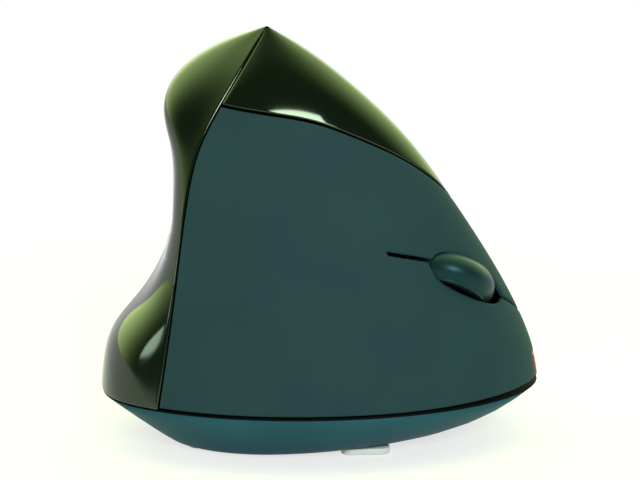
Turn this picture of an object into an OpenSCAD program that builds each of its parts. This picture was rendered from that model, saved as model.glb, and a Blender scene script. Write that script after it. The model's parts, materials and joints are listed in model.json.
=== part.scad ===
// Vertical ergonomic mouse for the right hand, with its shells, buttons, scroll wheel and electronics.
// X runs from heel to nose, Y from the finger side to the thumb side, Z up from the desk.

/* [Body] */
// Length from heel to nose
body_length = 111.2; // [106:0.2:120]
// Width across the belt line
body_width = 67; // [64:0.5:76]
// Height of the peak over the desk
body_height = 102.5; // [98:0.5:112]
// Height of the belt line where the shells meet the base
belt_height = 13; // [12:0.5:15]
// Wall of the moulded shells
wall = 2; // [1.6:0.1:2.4]
// Seam between fixed shells
seam_gap = 0.45; // [0.3:0.05:0.7]
// Seam over the fingers, measured up and down
crest_gap = 0.6; // [0.5:0.05:0.8]
// Shadow gap over the base
belt_gap = 1; // [0.8:0.1:1.6]
// Height of the red lens over the belt line
lens_h = 7; // [5:0.5:9]

/* [Finger buttons] */
// Distance of the button roots ahead of the middle
root_ahead = 15; // [12:0.5:17]
// Hairline at the button roots
root_gap = 0.2; // [0.15:0.05:0.4]
// Width of the slit between the two buttons
slit_gap = 0.9; // [0.7:0.05:1.2]
// Room for the buttons to move in towards the thumb shell
press_gap = 1.2; // [1:0.1:1.8]
// How far the buttons wrap round the ridge, as a share of the front quarter
wrap = 0.08; // [0.06:0.01:0.12]

/* [Scroll wheel] */
// Wheel diameter over the tyre
wheel_d = 24; // [22:0.5:26]
// Wheel width
wheel_w = 7.6; // [6:0.2:8]
// Height of the wheel over the finger face
wheel_proud = 3.8; // [3:0.2:4.6]
// Gap between wheel and opening
wheel_gap = 0.9; // [0.7:0.1:1.4]
// Axle diameter
axle_d = 2.4; // [2:0.1:3]
// Radial running clearance of axle, plungers and stem
run_gap = 0.06; // [0.03:0.01:0.1]

/* [Base] */
// Height of the flat underside over the desk
foot_proud = 0.7; // [0.5:0.1:1]
// Length of the flat underside
flat_length = 51; // [49:1:56]
// Width of the flat underside
flat_width = 44; // [43:1:50]
// Setback of the flat underside from the middle
flat_back = 13; // [11:0.5:15]
// Thickness of the glide feet
foot_t = 1.6; // [1.4:0.1:2]
// Length of a glide foot
foot_l = 12; // [10:0.5:14]
// Width of a glide foot
foot_w = 5; // [4:0.5:6]

/* [Power] */
// Cell diameter
cell_d = 14.5; // [13.8:0.1:14.5]
// Cell length with its nub
cell_l = 50.5; // [49:0.5:50.5]
// Gap round the cell and the door
cell_gap = 0.4; // [0.3:0.05:0.6]
// Thickness of the battery door
door_t = 1.6; // [1.2:0.1:2]
// Travel of the power switch
power_travel = 2.6; // [2:0.2:3]

/* [Thumb buttons] */
// Height of their middle over the desk
thumb_mid_z = 51; // [48:0.5:54]
// Length of each button along the thumb face, in turns of the front quarter
thumb_share = 0.2; // [0.18:0.01:0.22]
// Height of each button
thumb_h = 7; // [6:0.5:8]
// Height of the buttons over the thumb face
thumb_proud = 0.8; // [0.5:0.1:1.2]
// Gap round the buttons
thumb_gap = 0.5; // [0.4:0.05:0.8]

/* [Hidden] */
$fn = 40;

// Overlap of shapes that run into each other in one moulding, and reach of a cut past its faces
bite = 0.5;
past = 1;
// Gap under a piece that lies on another
seat_gap = 0.05;

half_l = body_length / 2;
half_w = body_width / 2;
// Level at which the profile knots start, and the rise from there to the peak
start_z = 11;
rise = body_height - start_z;

// Natural cubic spline through [place, value] knots, kept with its bending at each knot
function bend_forward(k, i = 1, c = [0], d = [0]) =
  i == len(k) - 1 ? [c, d] :
  let (a = k[i][0] - k[i - 1][0], b = k[i + 1][0] - k[i][0],
    r = 6 * ((k[i + 1][1] - k[i][1]) / b - (k[i][1] - k[i - 1][1]) / a),
    m = 2 * (a + b) - a * c[i - 1])
  bend_forward(k, i + 1, concat(c, [b / m]), concat(d, [(r - a * d[i - 1]) / m]));
function bend_back(c, d, i, x) = i < 1 ? concat([0], x) :
  bend_back(c, d, i - 1, concat([d[i] - c[i] * x[0]], x));
function spline(k) = let (f = bend_forward(k)) [k, bend_back(f[0], f[1], len(k) - 2, [0])];
function span(k, t, i = 0) = i >= len(k) - 2 || t < k[i + 1][0] ? i : span(k, t, i + 1);
function curve(c, t) =
  let (k = c[0], m = c[1], i = span(k, t), h = k[i + 1][0] - k[i][0], u = k[i + 1][0] - t, v = t - k[i][0])
  (m[i] * u ^ 3 + m[i + 1] * v ^ 3) / (6 * h) + (k[i][1] / h - m[i] * h / 6) * u
    + (k[i + 1][1] / h - m[i + 1] * h / 6) * v;

// Side view, as shares of the half length, over the share of the rise
heel_x = spline([[0, -0.987], [0.1, -0.97], [0.19, -0.918], [0.27, -0.809], [0.36, -0.72], [0.46, -0.634],
  [0.55, -0.639], [0.68, -0.667], [0.79, -0.689], [0.88, -0.619], [0.95, -0.451], [1, -0.23]]);
seam_x = spline([[0, -0.742], [0.32, -0.658], [0.58, -0.593], [0.7, -0.539], [0.8, -0.45], [0.9, -0.341],
  [1, -0.23]]);
ridge_x = spline([[0, 0.993], [0.1, 0.963], [0.22, 0.888], [0.38, 0.746], [0.54, 0.577], [0.7, 0.384],
  [0.86, 0.11], [0.93, -0.043], [1, -0.23]]);
thumb_x = spline([[0, -0.069], [0.4, -0.177], [0.8, -0.325], [1, -0.23]]);
// Front view, as shares of the half width
ridge_y = spline([[0, 0.03], [0.3, -0.09], [0.6, -0.104], [0.85, -0.015], [1, 0.075]]);
finger_y = spline([[0, -1], [0.3, -0.746], [0.6, -0.478], [0.85, -0.224], [1, 0.075]]);
thumb_y = spline([[0, 1], [0.1, 0.925], [0.22, 0.716], [0.38, 0.525], [0.52, 0.501], [0.68, 0.582],
  [0.79, 0.612], [0.88, 0.537], [0.95, 0.358], [1, 0.075]]);
heel_y = spline([[0, -0.03], [0.4, 0.03], [0.8, 0.12], [1, 0.075]]);
// Turn of the skin at the seam behind the fingers, in degrees
crease = spline([[0, 0], [0.6, 4], [0.85, 22], [1, 40]]);
// Seam over the fingers and slit between the buttons, as shares of the rise over the way along the face
crest_line = spline([[0, 0.809], [0.3, 0.787], [0.5, 0.758], [0.65, 0.71], [0.75, 0.671], [0.9, 0.599],
  [1.2, 0.45]]);
slit_line = spline([[0.5, 0.44], [0.65, 0.404], [0.745, 0.354], [0.86, 0.284], [1, 0.219], [1.2, 0.135]]);
// The finger face is an arc that runs past its side view middle by this share
face_back = 0.7;
face_turn = acos(-face_back);
// Holds of the curve behind the fingers: at the heel, at the seam, and the least drop between them
heel_hold = 0.55;
seam_hold = 0.4;
least_drop = 0.3;

function share(z) = (z - start_z) / rise;
function crest_z(s) = start_z + rise * curve(crest_line, s);
function slit_z(s) = start_z + rise * curve(slit_line, s);

// One level of the skin: s runs from the rear seam along the finger face to the ridge at 1,
// on to the thumb face at 2, to the heel at 3 and back to the rear seam at 4
function level(z) = let (t = share(z), xf = half_l * curve(ridge_x, t), xs = half_l * curve(seam_x, t),
    a = (xf - xs) / (1 + face_back), yf = half_w * curve(ridge_y, t))
  [xf, yf, a, yf - half_w * curve(finger_y, t), half_l * curve(thumb_x, t), half_w * curve(thumb_y, t),
    half_l * curve(heel_x, t), half_w * curve(heel_y, t), curve(crease, t)];
function finger_xy(l, s) = let (p = face_turn * (1 - s))
  [l[0] - l[2] + l[2] * cos(p), l[1] - l[3] * sin(p)];
function front_xy(l, s) = [l[4] + (l[0] - l[4]) * cos(90 * s), l[1] + (l[5] - l[1]) * sin(90 * s)];
function heel_xy(l, s) = [l[4] + (l[6] - l[4]) * sin(90 * s), l[7] + (l[5] - l[7]) * cos(90 * s)];
function rear_xy(l, u) = let (a = finger_xy(l, 0), b = [l[6], l[7]], reach = norm(a - b),
    drop = max(b[1] - a[1], least_drop * reach),
    head = atan2(-l[3] * cos(face_turn), -l[2] * sin(face_turn)) - l[8],
    p = b - [0, heel_hold * drop], q = a + seam_hold * reach * [cos(head), sin(head)])
  (1 - u) ^ 3 * b + 3 * (1 - u) ^ 2 * u * p + 3 * (1 - u) * u ^ 2 * q + u ^ 3 * a;
function ring_xy(l, s) = s < 0 ? ring_xy(l, s + 4) : s > 4 ? ring_xy(l, s - 4) :
  s <= 1 ? finger_xy(l, s) : s <= 2 ? front_xy(l, s - 1) : s <= 3 ? heel_xy(l, s - 2) : rear_xy(l, s - 3);
function skin(s, z) = let (p = ring_xy(level(z), s)) [p[0], p[1], z];

// Outward direction of the skin, and the skin pushed out by a distance
step_s = 0.02;
step_z = 0.3;
function unit(v) = v / norm(v);
function outward(s, z) =
  unit(cross(skin(s + step_s, z) - skin(s - step_s, z), skin(s, z + step_z) - skin(s, z - step_z)));
function pushed(s, z, d) = skin(s, z) + d * outward(s, z);
// A distance along the skin as a step of s
function along(s, z, d) = d * 2 * step_s / norm(skin(s + step_s, z) - skin(s - step_s, z));
// The way along the finger face that has a given x
function way_at(x, z) = let (l = level(z)) 1 - acos((x - l[0] + l[2]) / l[2]) / face_turn;

// The wall thins and its inside falls back from the skin towards the peak
peak_span = 24;
peak_from = body_height - peak_span;
peak_drop = 6.5;
peak_thin = 0.45;
function peak_share(z) = max(0, (z - peak_from) / (body_height - peak_from));
// and it stays over the belt seam
function inside(s, z, d) =
  let (p = pushed(s, z - peak_drop * peak_share(z) ^ 2, -d * (1 - peak_thin * peak_share(z))))
  [p[0], p[1], max(p[2], shell_low)];

function mix(a, b, t) = a + (b - a) * t;
function clamp01(t) = min(max(t, 0), 1);
function ease(t) = let (c = clamp01(t)) c * c * (3 - 2 * c);
function steps(n) = [for (i = [0:n]) i / n];

// A closed wall between two grids of points, with a window of left-out cells [i0, i1, j0, j1]
module walled(outer, inner, window = [0, 0, 0, 0]) {
  nu = len(outer) - 1;
  nv = len(outer[0]) - 1;
  half = (nu + 1) * (nv + 1);
  function id(i, j) = i * (nv + 1) + j;
  function there(i, j) = i >= 0 && j >= 0 && i < nu && j < nv
    && !(i >= window[0] && i < window[1] && j >= window[2] && j < window[3]);
  function rim(p, q) = [[p, q, q + half], [p, q + half, p + half]];
  sides = [for (i = [0:nu - 1]) for (j = [0:nv - 1]) if (there(i, j))
    let (a = id(i, j), b = id(i + 1, j), c = id(i + 1, j + 1), d = id(i, j + 1))
    each concat([[a, d, c], [a, c, b], [a + half, c + half, d + half], [a + half, b + half, c + half]],
      there(i, j - 1) ? [] : rim(a, b), there(i + 1, j) ? [] : rim(b, c),
      there(i, j + 1) ? [] : rim(c, d), there(i - 1, j) ? [] : rim(d, a))];
  points = [for (r = concat(outer, inner)) each r];
  polyhedron(points = points, faces = sides, convexity = 8);
}

// A patch of the shell over a grid of [way, height] places
module shell(grid, window = [0, 0, 0, 0]) {
  walled([for (r = grid) [for (p = r) skin(p[0], p[1])]],
    [for (r = grid) [for (p = r) inside(p[0], p[1], wall)]], window);
}

// Edges of the patches
shell_low = belt_height + 0.5 * seam_gap;
face_low = belt_height + belt_gap - 0.5 * seam_gap;
lens_top = belt_height + lens_h;
lens_round = 2;
lens_fit = 0.2;
lens_near = 0.925;
lens_far = 1.14;
shell_cut = 0.6;
crest_cut = 1.4;
shell_top = body_height - shell_cut;
crest_top = body_height - crest_cut;
function lens_share(z) = ease((z - lens_top) / lens_round);
function shell_from(z) = let (s = mix(lens_far, 1 + wrap, lens_share(z)))
  s + along(s, z, z > crest_z(1 + wrap) ? seam_gap : press_gap);

// Fixed panel under the fingers, from the rear seam to the button roots
module finger_panel() {
  cells = [16, 18];
  high = root_crest_z;
  function place(u, v) =
    let (zr = mix(face_low, high, v), sr = way_at(root_ahead - root_gap, zr),
      s0 = along(0, mix(face_low, crest_z(0), v), seam_gap / 2), s = mix(s0, sr, u),
      z = mix(face_low, crest_z(s) - crest_gap / 2, v),
      fix = zr - mix(face_low, crest_z(sr) - crest_gap / 2, v))
    [s, z + u * fix];
  grid = [for (u = steps(cells[0])) [for (v = steps(cells[1])) place(u, v)]];
  color("darkslategray") shell(grid);
}

// Frame of the scroll wheel: x the way it rolls, y along its axle, z out through the finger face
open_mid = 0.745;
open_z = slit_z(open_mid);
open_probe = 0.1;
function on_slit(s) = skin(s, slit_z(s));
open_spot = on_slit(open_mid);
open_run = on_slit(open_mid + open_probe) - on_slit(open_mid - open_probe);
open_up = (skin(open_mid, open_z + 1) - skin(open_mid, open_z - 1)) / 2;
wheel_out = outward(open_mid, open_z);
wheel_roll = unit(open_run - (open_run * wheel_out) * wheel_out);
wheel_side = cross(wheel_out, wheel_roll);
wheel_mid = open_spot - (wheel_d / 2 - wheel_proud) * wheel_out;
module wheel_frame() {
  multmatrix([for (i = [0:2]) [wheel_roll[i], wheel_side[i], wheel_out[i], wheel_mid[i]]]) children();
}
// The opening is an oval in the plane of the wheel, which runs on ahead, where the face falls away
wheel_chord = sqrt(wheel_d ^ 2 / 4 - (wheel_d / 2 - wheel_proud) ^ 2);
open_pace = open_run * wheel_roll / (2 * open_probe);
open_past = 1;
open_ahead = 3.2;
open_long = wheel_chord + open_past + open_ahead / 2;
open_wide = wheel_w / 2 + wheel_gap;
open_centre = open_mid + open_ahead / 2 / open_pace;
open_lean = open_up * wheel_roll;
open_rise = open_up * wheel_side;

// The two finger buttons run from their roots round the ridge, with the slit between them
button_cells = [52, 10];
// First guesses of the way along the face at the root
slit_guess = 0.53;
crest_guess = 0.72;
// The seam over the upper button widens towards the ridge, where a press moves the button along it
press_from = 0.7;
press_room = 0.8;
root_slit_z = slit_z(way_at(root_ahead, slit_z(slit_guess)));
root_crest_z = crest_z(way_at(root_ahead, crest_z(crest_guess))) - crest_gap / 2;
// How far the slit opens to a side, where the oval stands over the way s
function opening(s, side) =
  let (x = open_pace * (s - open_centre), a = (open_lean / open_long) ^ 2 + (open_rise / open_wide) ^ 2,
    b = x * open_lean / open_long ^ 2, under = b ^ 2 - a * ((x / open_long) ^ 2 - 1))
  under < 0 ? 0 : (sqrt(under) - side * b) / a;
function slit_side(s, side) = max(slit_gap / 2, opening(s, side));
function tongue(u, v, low, high, low_root, high_root) =
  let (zr = mix(low_root, high_root, v), sr = way_at(root_ahead, zr),
    s = mix(sr, 1 + wrap, u), z = mix(low(s), high(s), v), fix = zr - mix(low(sr), high(sr), v))
  [s, z + (1 - u) * fix];
upper_low = function(s) slit_z(s) + slit_side(s, 1);
function press_share(s) = ease((s - press_from) / (1 + wrap - press_from));
upper_high = function(s) crest_z(s) - crest_gap / 2 - press_room * press_share(s);
// The shadow gap over the base widens towards the nose
gap_from = 0.45;
nose_gap = 1;
lower_low = function(s) face_low + nose_gap * ease((s - gap_from) / (1 - gap_from));
lower_high = function(s) slit_z(s) - slit_side(s, -1);
function upper_at(u, v) = tongue(u, v, upper_low, upper_high, root_slit_z + slit_gap / 2, root_crest_z);
function lower_at(u, v) = tongue(u, v, lower_low, lower_high, face_low, root_slit_z - slit_gap / 2);
upper_grid = [for (u = steps(button_cells[0])) [for (v = steps(button_cells[1])) upper_at(u, v)]];
lower_grid = [for (u = steps(button_cells[0])) [for (v = steps(button_cells[1])) lower_at(u, v)]];

// Frame of the button board: x along the body, y up along the button roots, z out through the buttons
root_low = skin(way_at(root_ahead, face_low), face_low);
root_high = skin(way_at(root_ahead, root_crest_z), root_crest_z);
board_up = unit([0, root_high[1] - root_low[1], root_high[2] - root_low[2]]);
board_out = cross([1, 0, 0], board_up);
module board_frame() {
  multmatrix([[1, board_up[0], board_out[0], 0], [0, board_up[1], board_out[1], 0],
    [0, board_up[2], board_out[2], 0]]) children();
}
function board_xyz(p) = [p[0], p * board_up, p * board_out];

// Button switches on the board, under the places where the fingertips press:
// the way along the face and the share of the rise
upper_press = [0.715, 0.503];
lower_press = [0.641, 0.164];
function press_spot(p) = board_xyz(skin(p[0], start_z + rise * p[1]));
upper_spot = press_spot(upper_press);
lower_spot = press_spot(lower_press);
switch_size = [12.8, 5.8, 6.5];
plunger_d = 2;
plunger_up = 1;
plunger_bore = 2;
contact_gap = 0.08;
switch_room = 9.8;
board_top = min(upper_spot[2], lower_spot[2]) - wall - switch_room;
switch_top = board_top + switch_size[2];
post_d = 3.2;
module press_post(spot) {
  board_frame() translate([spot[0], spot[1], switch_top + plunger_up + contact_gap])
    cylinder(d = post_d, h = spot[2] - wall / 2 - switch_top - plunger_up - contact_gap);
}
module upper_button() {
  color("darkslategray") union() {
    difference() {
      shell(upper_grid);
      wheel_clear();
    }
    press_post(upper_spot);
  }
}
// The lens takes the lower corner at the nose, with room over it for the press
lens_over = 0.5;
corner_round = 0.7;
module lens_corner() {
  low = skin(lens_near, shell_low);
  high = skin(lens_near, lens_top + lens_over);
  foot = low - (high - low);
  multmatrix([[0, 0, 1, 0], [1, 0, 0, 0], [0, 1, 0, 0]]) translate([0, 0, root_ahead]) linear_extrude(half_l)
    offset(r = corner_round) offset(delta = -corner_round)
      polygon([[foot[1], foot[2]], [high[1], high[2]], [half_w, high[2]], [half_w, foot[2]]]);
}
module lower_button() {
  color("darkslategray") union() {
    difference() {
      shell(lower_grid);
      wheel_clear();
      lens_corner();
    }
    press_post(lower_spot);
  }
}

// Gloss cover over the fingers, up to the peak, where its rows crowd together
crest_even = 0.8;
module crest_cover() {
  cells = [22, 14];
  function place(u, v) =
    let (s0 = along(0, mix(crest_z(0), crest_top, v), seam_gap / 2), s = mix(s0, 1 + wrap, u))
    [s, mix(crest_z(s) + crest_gap / 2, crest_top, v ^ crest_even)];
  grid = [for (u = steps(cells[0])) [for (v = steps(cells[1])) place(u, v)]];
  color("darkolivegreen") shell(grid);
}

// Gloss shell over thumb side and heel, with one window for the two thumb buttons
thumb_from = 1.58;
thumb_to = thumb_from + 2 * thumb_share;
shell_even = 0.9;
shell_low_z = concat([for (t = steps(2)) mix(shell_low, lens_top, t)],
  [for (t = [1:3]) lens_top + lens_round * t / 3],
  [for (t = [1:6]) mix(lens_top + lens_round, thumb_mid_z - thumb_h / 2, t / 6)]);
shell_z = concat(shell_low_z, [thumb_mid_z],
  [for (t = steps(13)) mix(thumb_mid_z + thumb_h / 2, shell_top, t ^ shell_even)]);
shell_before = 6;
shell_over = 8;
shell_after = 22;
shell_s = concat([for (i = [1:shell_over]) mix(thumb_from, thumb_to, i / shell_over)],
  [for (i = [1:shell_after]) mix(thumb_to, 4, i / shell_after)]);
module thumb_shell() {
  function row(z) = let (a = shell_from(z), b = 4 - along(4, z, seam_gap / 2))
    concat([for (i = [0:shell_before]) mix(a, thumb_from, i / shell_before)],
      [for (s = shell_s) min(s, b)]);
  rows = [for (z = shell_z) row(z)];
  count = len(rows[0]);
  grid = [for (i = [0:count - 1]) [for (j = [0:len(shell_z) - 1]) [rows[j][i], shell_z[j]]]];
  color("darkolivegreen") shell(grid,
    [shell_before, shell_before + shell_over, len(shell_low_z) - 1, len(shell_low_z) + 1]);
}

// Thumb buttons slide straight in towards their switches
thumb_split = (thumb_from + thumb_to) / 2;
thumb_out = outward(thumb_split, thumb_mid_z);
function thumb_step(s, d) = s + along(s, thumb_mid_z, d);
module thumb_cap(from, to) {
  cells = [6, 4];
  low = thumb_mid_z - thumb_h / 2 + thumb_gap;
  high = thumb_mid_z + thumb_h / 2 - thumb_gap;
  grid = [for (u = steps(cells[0])) [for (v = steps(cells[1])) [mix(from, to, u), mix(low, high, v)]]];
  color("dimgray") walled([for (r = grid) [for (p = r) pushed(p[0], p[1], thumb_proud)]],
    [for (r = grid) [for (p = r) pushed(p[0], p[1], -wall)]]);
}
module thumb_button_front() {
  thumb_cap(thumb_step(thumb_from, thumb_gap), thumb_step(thumb_split, -thumb_gap / 2));
}
module thumb_button_rear() {
  thumb_cap(thumb_step(thumb_split, thumb_gap / 2), thumb_step(thumb_to, -thumb_gap));
}

// Red lens at the nose
module nose_lens() {
  cells = [8, 4];
  function place(u, v) = let (z = mix(shell_low + nose_gap, lens_top - lens_fit, v))
    [mix(lens_near + along(lens_near, z, press_gap), lens_far, u), z];
  grid = [for (u = steps(cells[0])) [for (v = steps(cells[1])) place(u, v)]];
  color("firebrick") shell(grid);
}

// Wheel: a hub that turns on the axle, with a crowned rubber tyre
tyre_t = 3;
hub_d = wheel_d - 2 * tyre_t;
crown = 2.3;
hub_inset = 0.5;
hub_boss = 2;
hub_rim = 1.5;
hub_dish = 1;
module scroll_hub() {
  color("dimgray") wheel_frame() rotate([90, 0, 0]) difference() {
    cylinder(d = hub_d, h = wheel_w - 2 * hub_inset, center = true);
    cylinder(d = axle_d + 2 * run_gap, h = wheel_w, center = true);
    for (side = [-1, 1]) translate([0, 0, side * (wheel_w / 2 - hub_inset)]) rotate_extrude()
      translate([axle_d / 2 + hub_boss, -hub_dish])
        square([(hub_d - axle_d) / 2 - hub_boss - hub_rim, 2 * hub_dish]);
  }
}
module tyre_section() {
  swell = (wheel_w ^ 2 / 4 + crown ^ 2) / (2 * crown);
  intersection() {
    translate([hub_d / 2, -wheel_w / 2]) square([tyre_t, wheel_w]);
    translate([wheel_d / 2 - swell, 0]) circle(r = swell);
  }
}
module scroll_tyre() {
  color("darkslategray") wheel_frame() rotate([90, 0, 0]) rotate_extrude() tyre_section();
}
// Room that the buttons leave for the wheel behind the edges of the opening
wheel_room = 0.8;
room_deep = 4;
module wheel_clear() {
  wheel_frame() rotate([90, 0, 0]) rotate_extrude() offset(r = wheel_room) {
    tyre_section();
    translate([hub_d / 2 - room_deep, -wheel_w / 2]) square([room_deep, wheel_w]);
  }
}

// Yoke that carries the wheel and slides in for the middle click
cheek_gap = 0.5;
cheek_t = 1.4;
cheek_in = wheel_w / 2 + cheek_gap;
cheek_out = cheek_in + cheek_t;
yoke_w = 6;
yoke_bar = 1.5;
yoke_room = 0.9;
yoke_low = -(wheel_d / 2 + yoke_room + yoke_bar);
stem_d = 4;
cradle_room = 1.2;
cradle_top = yoke_low - cradle_room;
cradle_t = 2;
chamber_l = 5;
chamber_wall = 1.25;
chamber_d = 8.9;
cradle_d = chamber_d + 2 * chamber_wall;
board_t = 1.6;
// Depth of the thumb face behind the upper edge of the click chamber, found by halving
function front_share(p) = let (l = level(p[2]))
  ((p[0] - l[4]) / (l[0] - l[4])) ^ 2 + ((p[1] - l[1]) / (l[5] - l[1])) ^ 2;
function depth(from, low, high, halvings = 20) = halvings == 0 ? low : let (m = (low + high) / 2)
  front_share(from - m * wheel_out) < 1 ? depth(from, m, high, halvings - 1)
    : depth(from, low, m, halvings - 1);
chamber_depth = depth(wheel_mid + cradle_d / 2 * wheel_side, 0, body_width);
click_room = 4.6;
// The sleeve of the stem is shorter where the body is slim
sleeve_full = 4.6;
sleeve_l = min(sleeve_full, chamber_depth - click_room - board_t - chamber_l + cradle_top);
chamber_top = cradle_top - sleeve_l;
tact = [6, 6, 3.5];
tact_plunger_d = 3;
tact_up = 0.7;
click_board_top = chamber_top - chamber_l;
stem_low = click_board_top + tact[2] + tact_up + contact_gap;
module scroll_axle() {
  color("silver") wheel_frame() rotate([90, 0, 0]) cylinder(d = axle_d, h = 2 * cheek_out, center = true);
}
module wheel_yoke() {
  color("gray") wheel_frame() difference() {
    union() {
      for (side = [-1, 1]) {
        translate([-yoke_w / 2, side > 0 ? cheek_in : -cheek_out, yoke_low])
          cube([yoke_w, cheek_t, -yoke_low]);
        translate([0, side > 0 ? cheek_out : -cheek_in, 0]) rotate([90, 0, 0])
          cylinder(d = yoke_w, h = cheek_t);
      }
      translate([-yoke_w / 2, -cheek_out, yoke_low]) cube([yoke_w, 2 * cheek_out, yoke_bar]);
      translate([0, 0, stem_low]) cylinder(d = stem_d, h = yoke_low - stem_low + bite);
    }
    rotate([90, 0, 0]) cylinder(d = axle_d, h = 3 * cheek_out, center = true);
  }
}
encoder_gap = 0.2;
encoder = [9, 2.6, 9];
encoder_up = 2;
encoder_room = 0.5;
module scroll_encoder() {
  color("forestgreen") wheel_frame()
    translate([-encoder[0] / 2, cheek_out + encoder_gap, encoder_up - encoder[2]]) cube(encoder);
}

// Middle click switch in the foot of the wheel cradle
cradle_x = [-7, 1];
cradle_in = cheek_out + encoder_gap + encoder[1] + encoder_room;
cradle_side = 1.6;
cradle_h = 4;
module click_board() {
  color("darkgreen") wheel_frame() translate([0, 0, click_board_top - board_t])
    cylinder(d = cradle_d, h = board_t);
}
tact_bore = 1.6;
module tact_body(bore) {
  difference() {
    translate([-tact[0] / 2, -tact[1] / 2, 0]) cube(tact);
    translate([0, 0, tact[2] - tact_bore]) cylinder(d = bore + 2 * run_gap, h = tact_bore + past);
  }
}
module click_switch() {
  color("black") wheel_frame() translate([0, 0, click_board_top]) tact_body(tact_plunger_d);
}
plunge_room = 0.8;
module click_plunger() {
  low = click_board_top + tact[2] - tact_bore + plunge_room;
  color("saddlebrown") wheel_frame() translate([0, 0, low])
    cylinder(d = tact_plunger_d, h = stem_low - contact_gap - low);
}

// Button board with its two long switches, a spine behind the wheel and an arm under it
spine_w = 4;
spine_past = 2;
arm_past = 4;
arm_up = 8;
board_low = lower_spot[1] - 5;
board_high = upper_spot[1] + 4;
well_gap = 0.6;
well_h = 60;
board_well = [2 * (wheel_d / 2 + 3), 2 * (cradle_in + cradle_side + well_gap)];
plate_well = [2 * (wheel_d / 2 + 2), 2 * cradle_in];
post_h = 2;
post_w = 5;
plate_t = 2;
plate_top = board_top - board_t - post_h;
// Where an edge of the wheel well, along the axle, meets the board
function well_x(y) = let (p = wheel_mid - board_well[0] / 2 * wheel_roll + y * wheel_side)
  p[0] + wheel_out[0] * (board_top - p * board_out) / (wheel_out * board_out);
spine_x = min(well_x(-board_well[1] / 2), well_x(board_well[1] / 2)) - spine_w;
post_in = 5.6;
post_low = 7;
post_high = 6;
post_x = spine_x + post_in;
board_posts = [[post_x, board_low + post_low], [post_x, board_high - post_high]];
screw_d = 2;
screw_fit = 0.2;
head_d = 3.8;
head_t = 1.4;
module wheel_well(size, low) {
  wheel_frame() translate([-size[0] / 2, -size[1] / 2, low]) cube([size[0], size[1], well_h]);
}
// The board's outline, with some room round it
module board_blank(h, room) {
  spine_end = upper_spot[0] + spine_past + room;
  arm_end = lower_spot[0] + arm_past + room;
  arm_top = lower_spot[1] + arm_up + room;
  low = board_low - room;
  high = board_high + room;
  difference() {
    board_frame() translate([spine_x - room, low, board_top - board_t])
      cube([arm_end - spine_x + room, high - low, h]);
    board_frame() translate([spine_end, arm_top, board_top - board_t - past])
      cube([arm_end - spine_end + past, high - arm_top + past, h + 2 * past]);
    wheel_well(board_well, -well_h / 2);
  }
}
module button_board() {
  color("darkgreen") difference() {
    board_blank(board_t, 0);
    board_frame() for (p = board_posts) translate([p[0], p[1], board_top - board_t - past])
      cylinder(d = screw_d + 2 * screw_fit, h = board_t + 2 * past);
  }
}
plunger_side = 3;
module long_switch(spot) {
  board_frame() translate([spot[0] - plunger_side, spot[1], board_top]) difference() {
    translate([-switch_size[0] / 2, -switch_size[1] / 2, 0]) cube(switch_size);
    translate([plunger_side, 0, switch_size[2] - plunger_bore])
      cylinder(d = plunger_d + 2 * run_gap, h = plunger_bore + past);
  }
}
module long_plunger(spot) {
  board_frame() translate([spot[0], spot[1], switch_top - plunger_bore + plunge_room])
    cylinder(d = plunger_d, h = plunger_bore - plunge_room + plunger_up);
}
module upper_switch() { color("black") long_switch(upper_spot); }
module lower_switch() { color("black") long_switch(lower_spot); }
module upper_plunger() { color("white") long_plunger(upper_spot); }
module lower_plunger() { color("white") long_plunger(lower_spot); }
module board_screws() {
  color("silver") board_frame() for (p = board_posts) translate([p[0], p[1], board_top]) union() {
    cylinder(d = head_d, h = head_t);
    translate([0, 0, -board_t - post_h]) cylinder(d = screw_d, h = board_t + post_h + bite);
  }
}

// Frame of the thumb buttons: z out through the thumb face
thumb_mid = skin(thumb_split, thumb_mid_z);
thumb_aft = unit(cross([0, 0, 1], thumb_out));
thumb_up = cross(thumb_out, thumb_aft);
module thumb_frame() {
  multmatrix([for (i = [0:2]) [thumb_aft[i], thumb_up[i], thumb_out[i], thumb_mid[i]]]) children();
}
function thumb_spot(s) = let (p = skin(s, thumb_mid_z) - thumb_mid)
  [p * thumb_aft, p * thumb_up, p * thumb_out];
front_spot = thumb_spot((thumb_from + thumb_split) / 2);
rear_spot = thumb_spot((thumb_split + thumb_to) / 2);
// Room for the bow of the caps over their switches
cap_bow = 0.5;
thumb_board_top = min(front_spot[2], rear_spot[2]) - wall - cap_bow - contact_gap - tact_up - tact[2];
thumb_board_edge = 5;
thumb_board_low = thumb_board_top - board_t;
module thumb_blank(h, room) {
  edge = thumb_board_edge + room;
  thumb_frame() translate([front_spot[0] - edge, -edge, thumb_board_low])
    cube([rear_spot[0] - front_spot[0] + 2 * edge, 2 * edge, h]);
}
module thumb_board() {
  color("darkgreen") thumb_blank(board_t, 0);
}
// Length of a post from the thumb board back into the leaning plate
function thumb_post(spot) =
  let (foot = thumb_mid + spot[0] * thumb_aft + thumb_board_low * thumb_out)
  (plate_top - plate_t / 2 - foot * board_out) / (-thumb_out * board_out);
module thumb_switches() {
  color("black") thumb_frame() for (p = [front_spot, rear_spot])
    translate([p[0], 0, thumb_board_top]) tact_body(tact_plunger_d);
}
module thumb_plunger(spot) {
  low = thumb_board_top + tact[2] - tact_bore + plunge_room;
  color("saddlebrown") thumb_frame() translate([spot[0], 0, low])
    cylinder(d = tact_plunger_d, h = spot[2] - wall - cap_bow - contact_gap - low);
}
module thumb_plunger_front() { thumb_plunger(front_spot); }
module thumb_plunger_rear() { thumb_plunger(rear_spot); }

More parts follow.
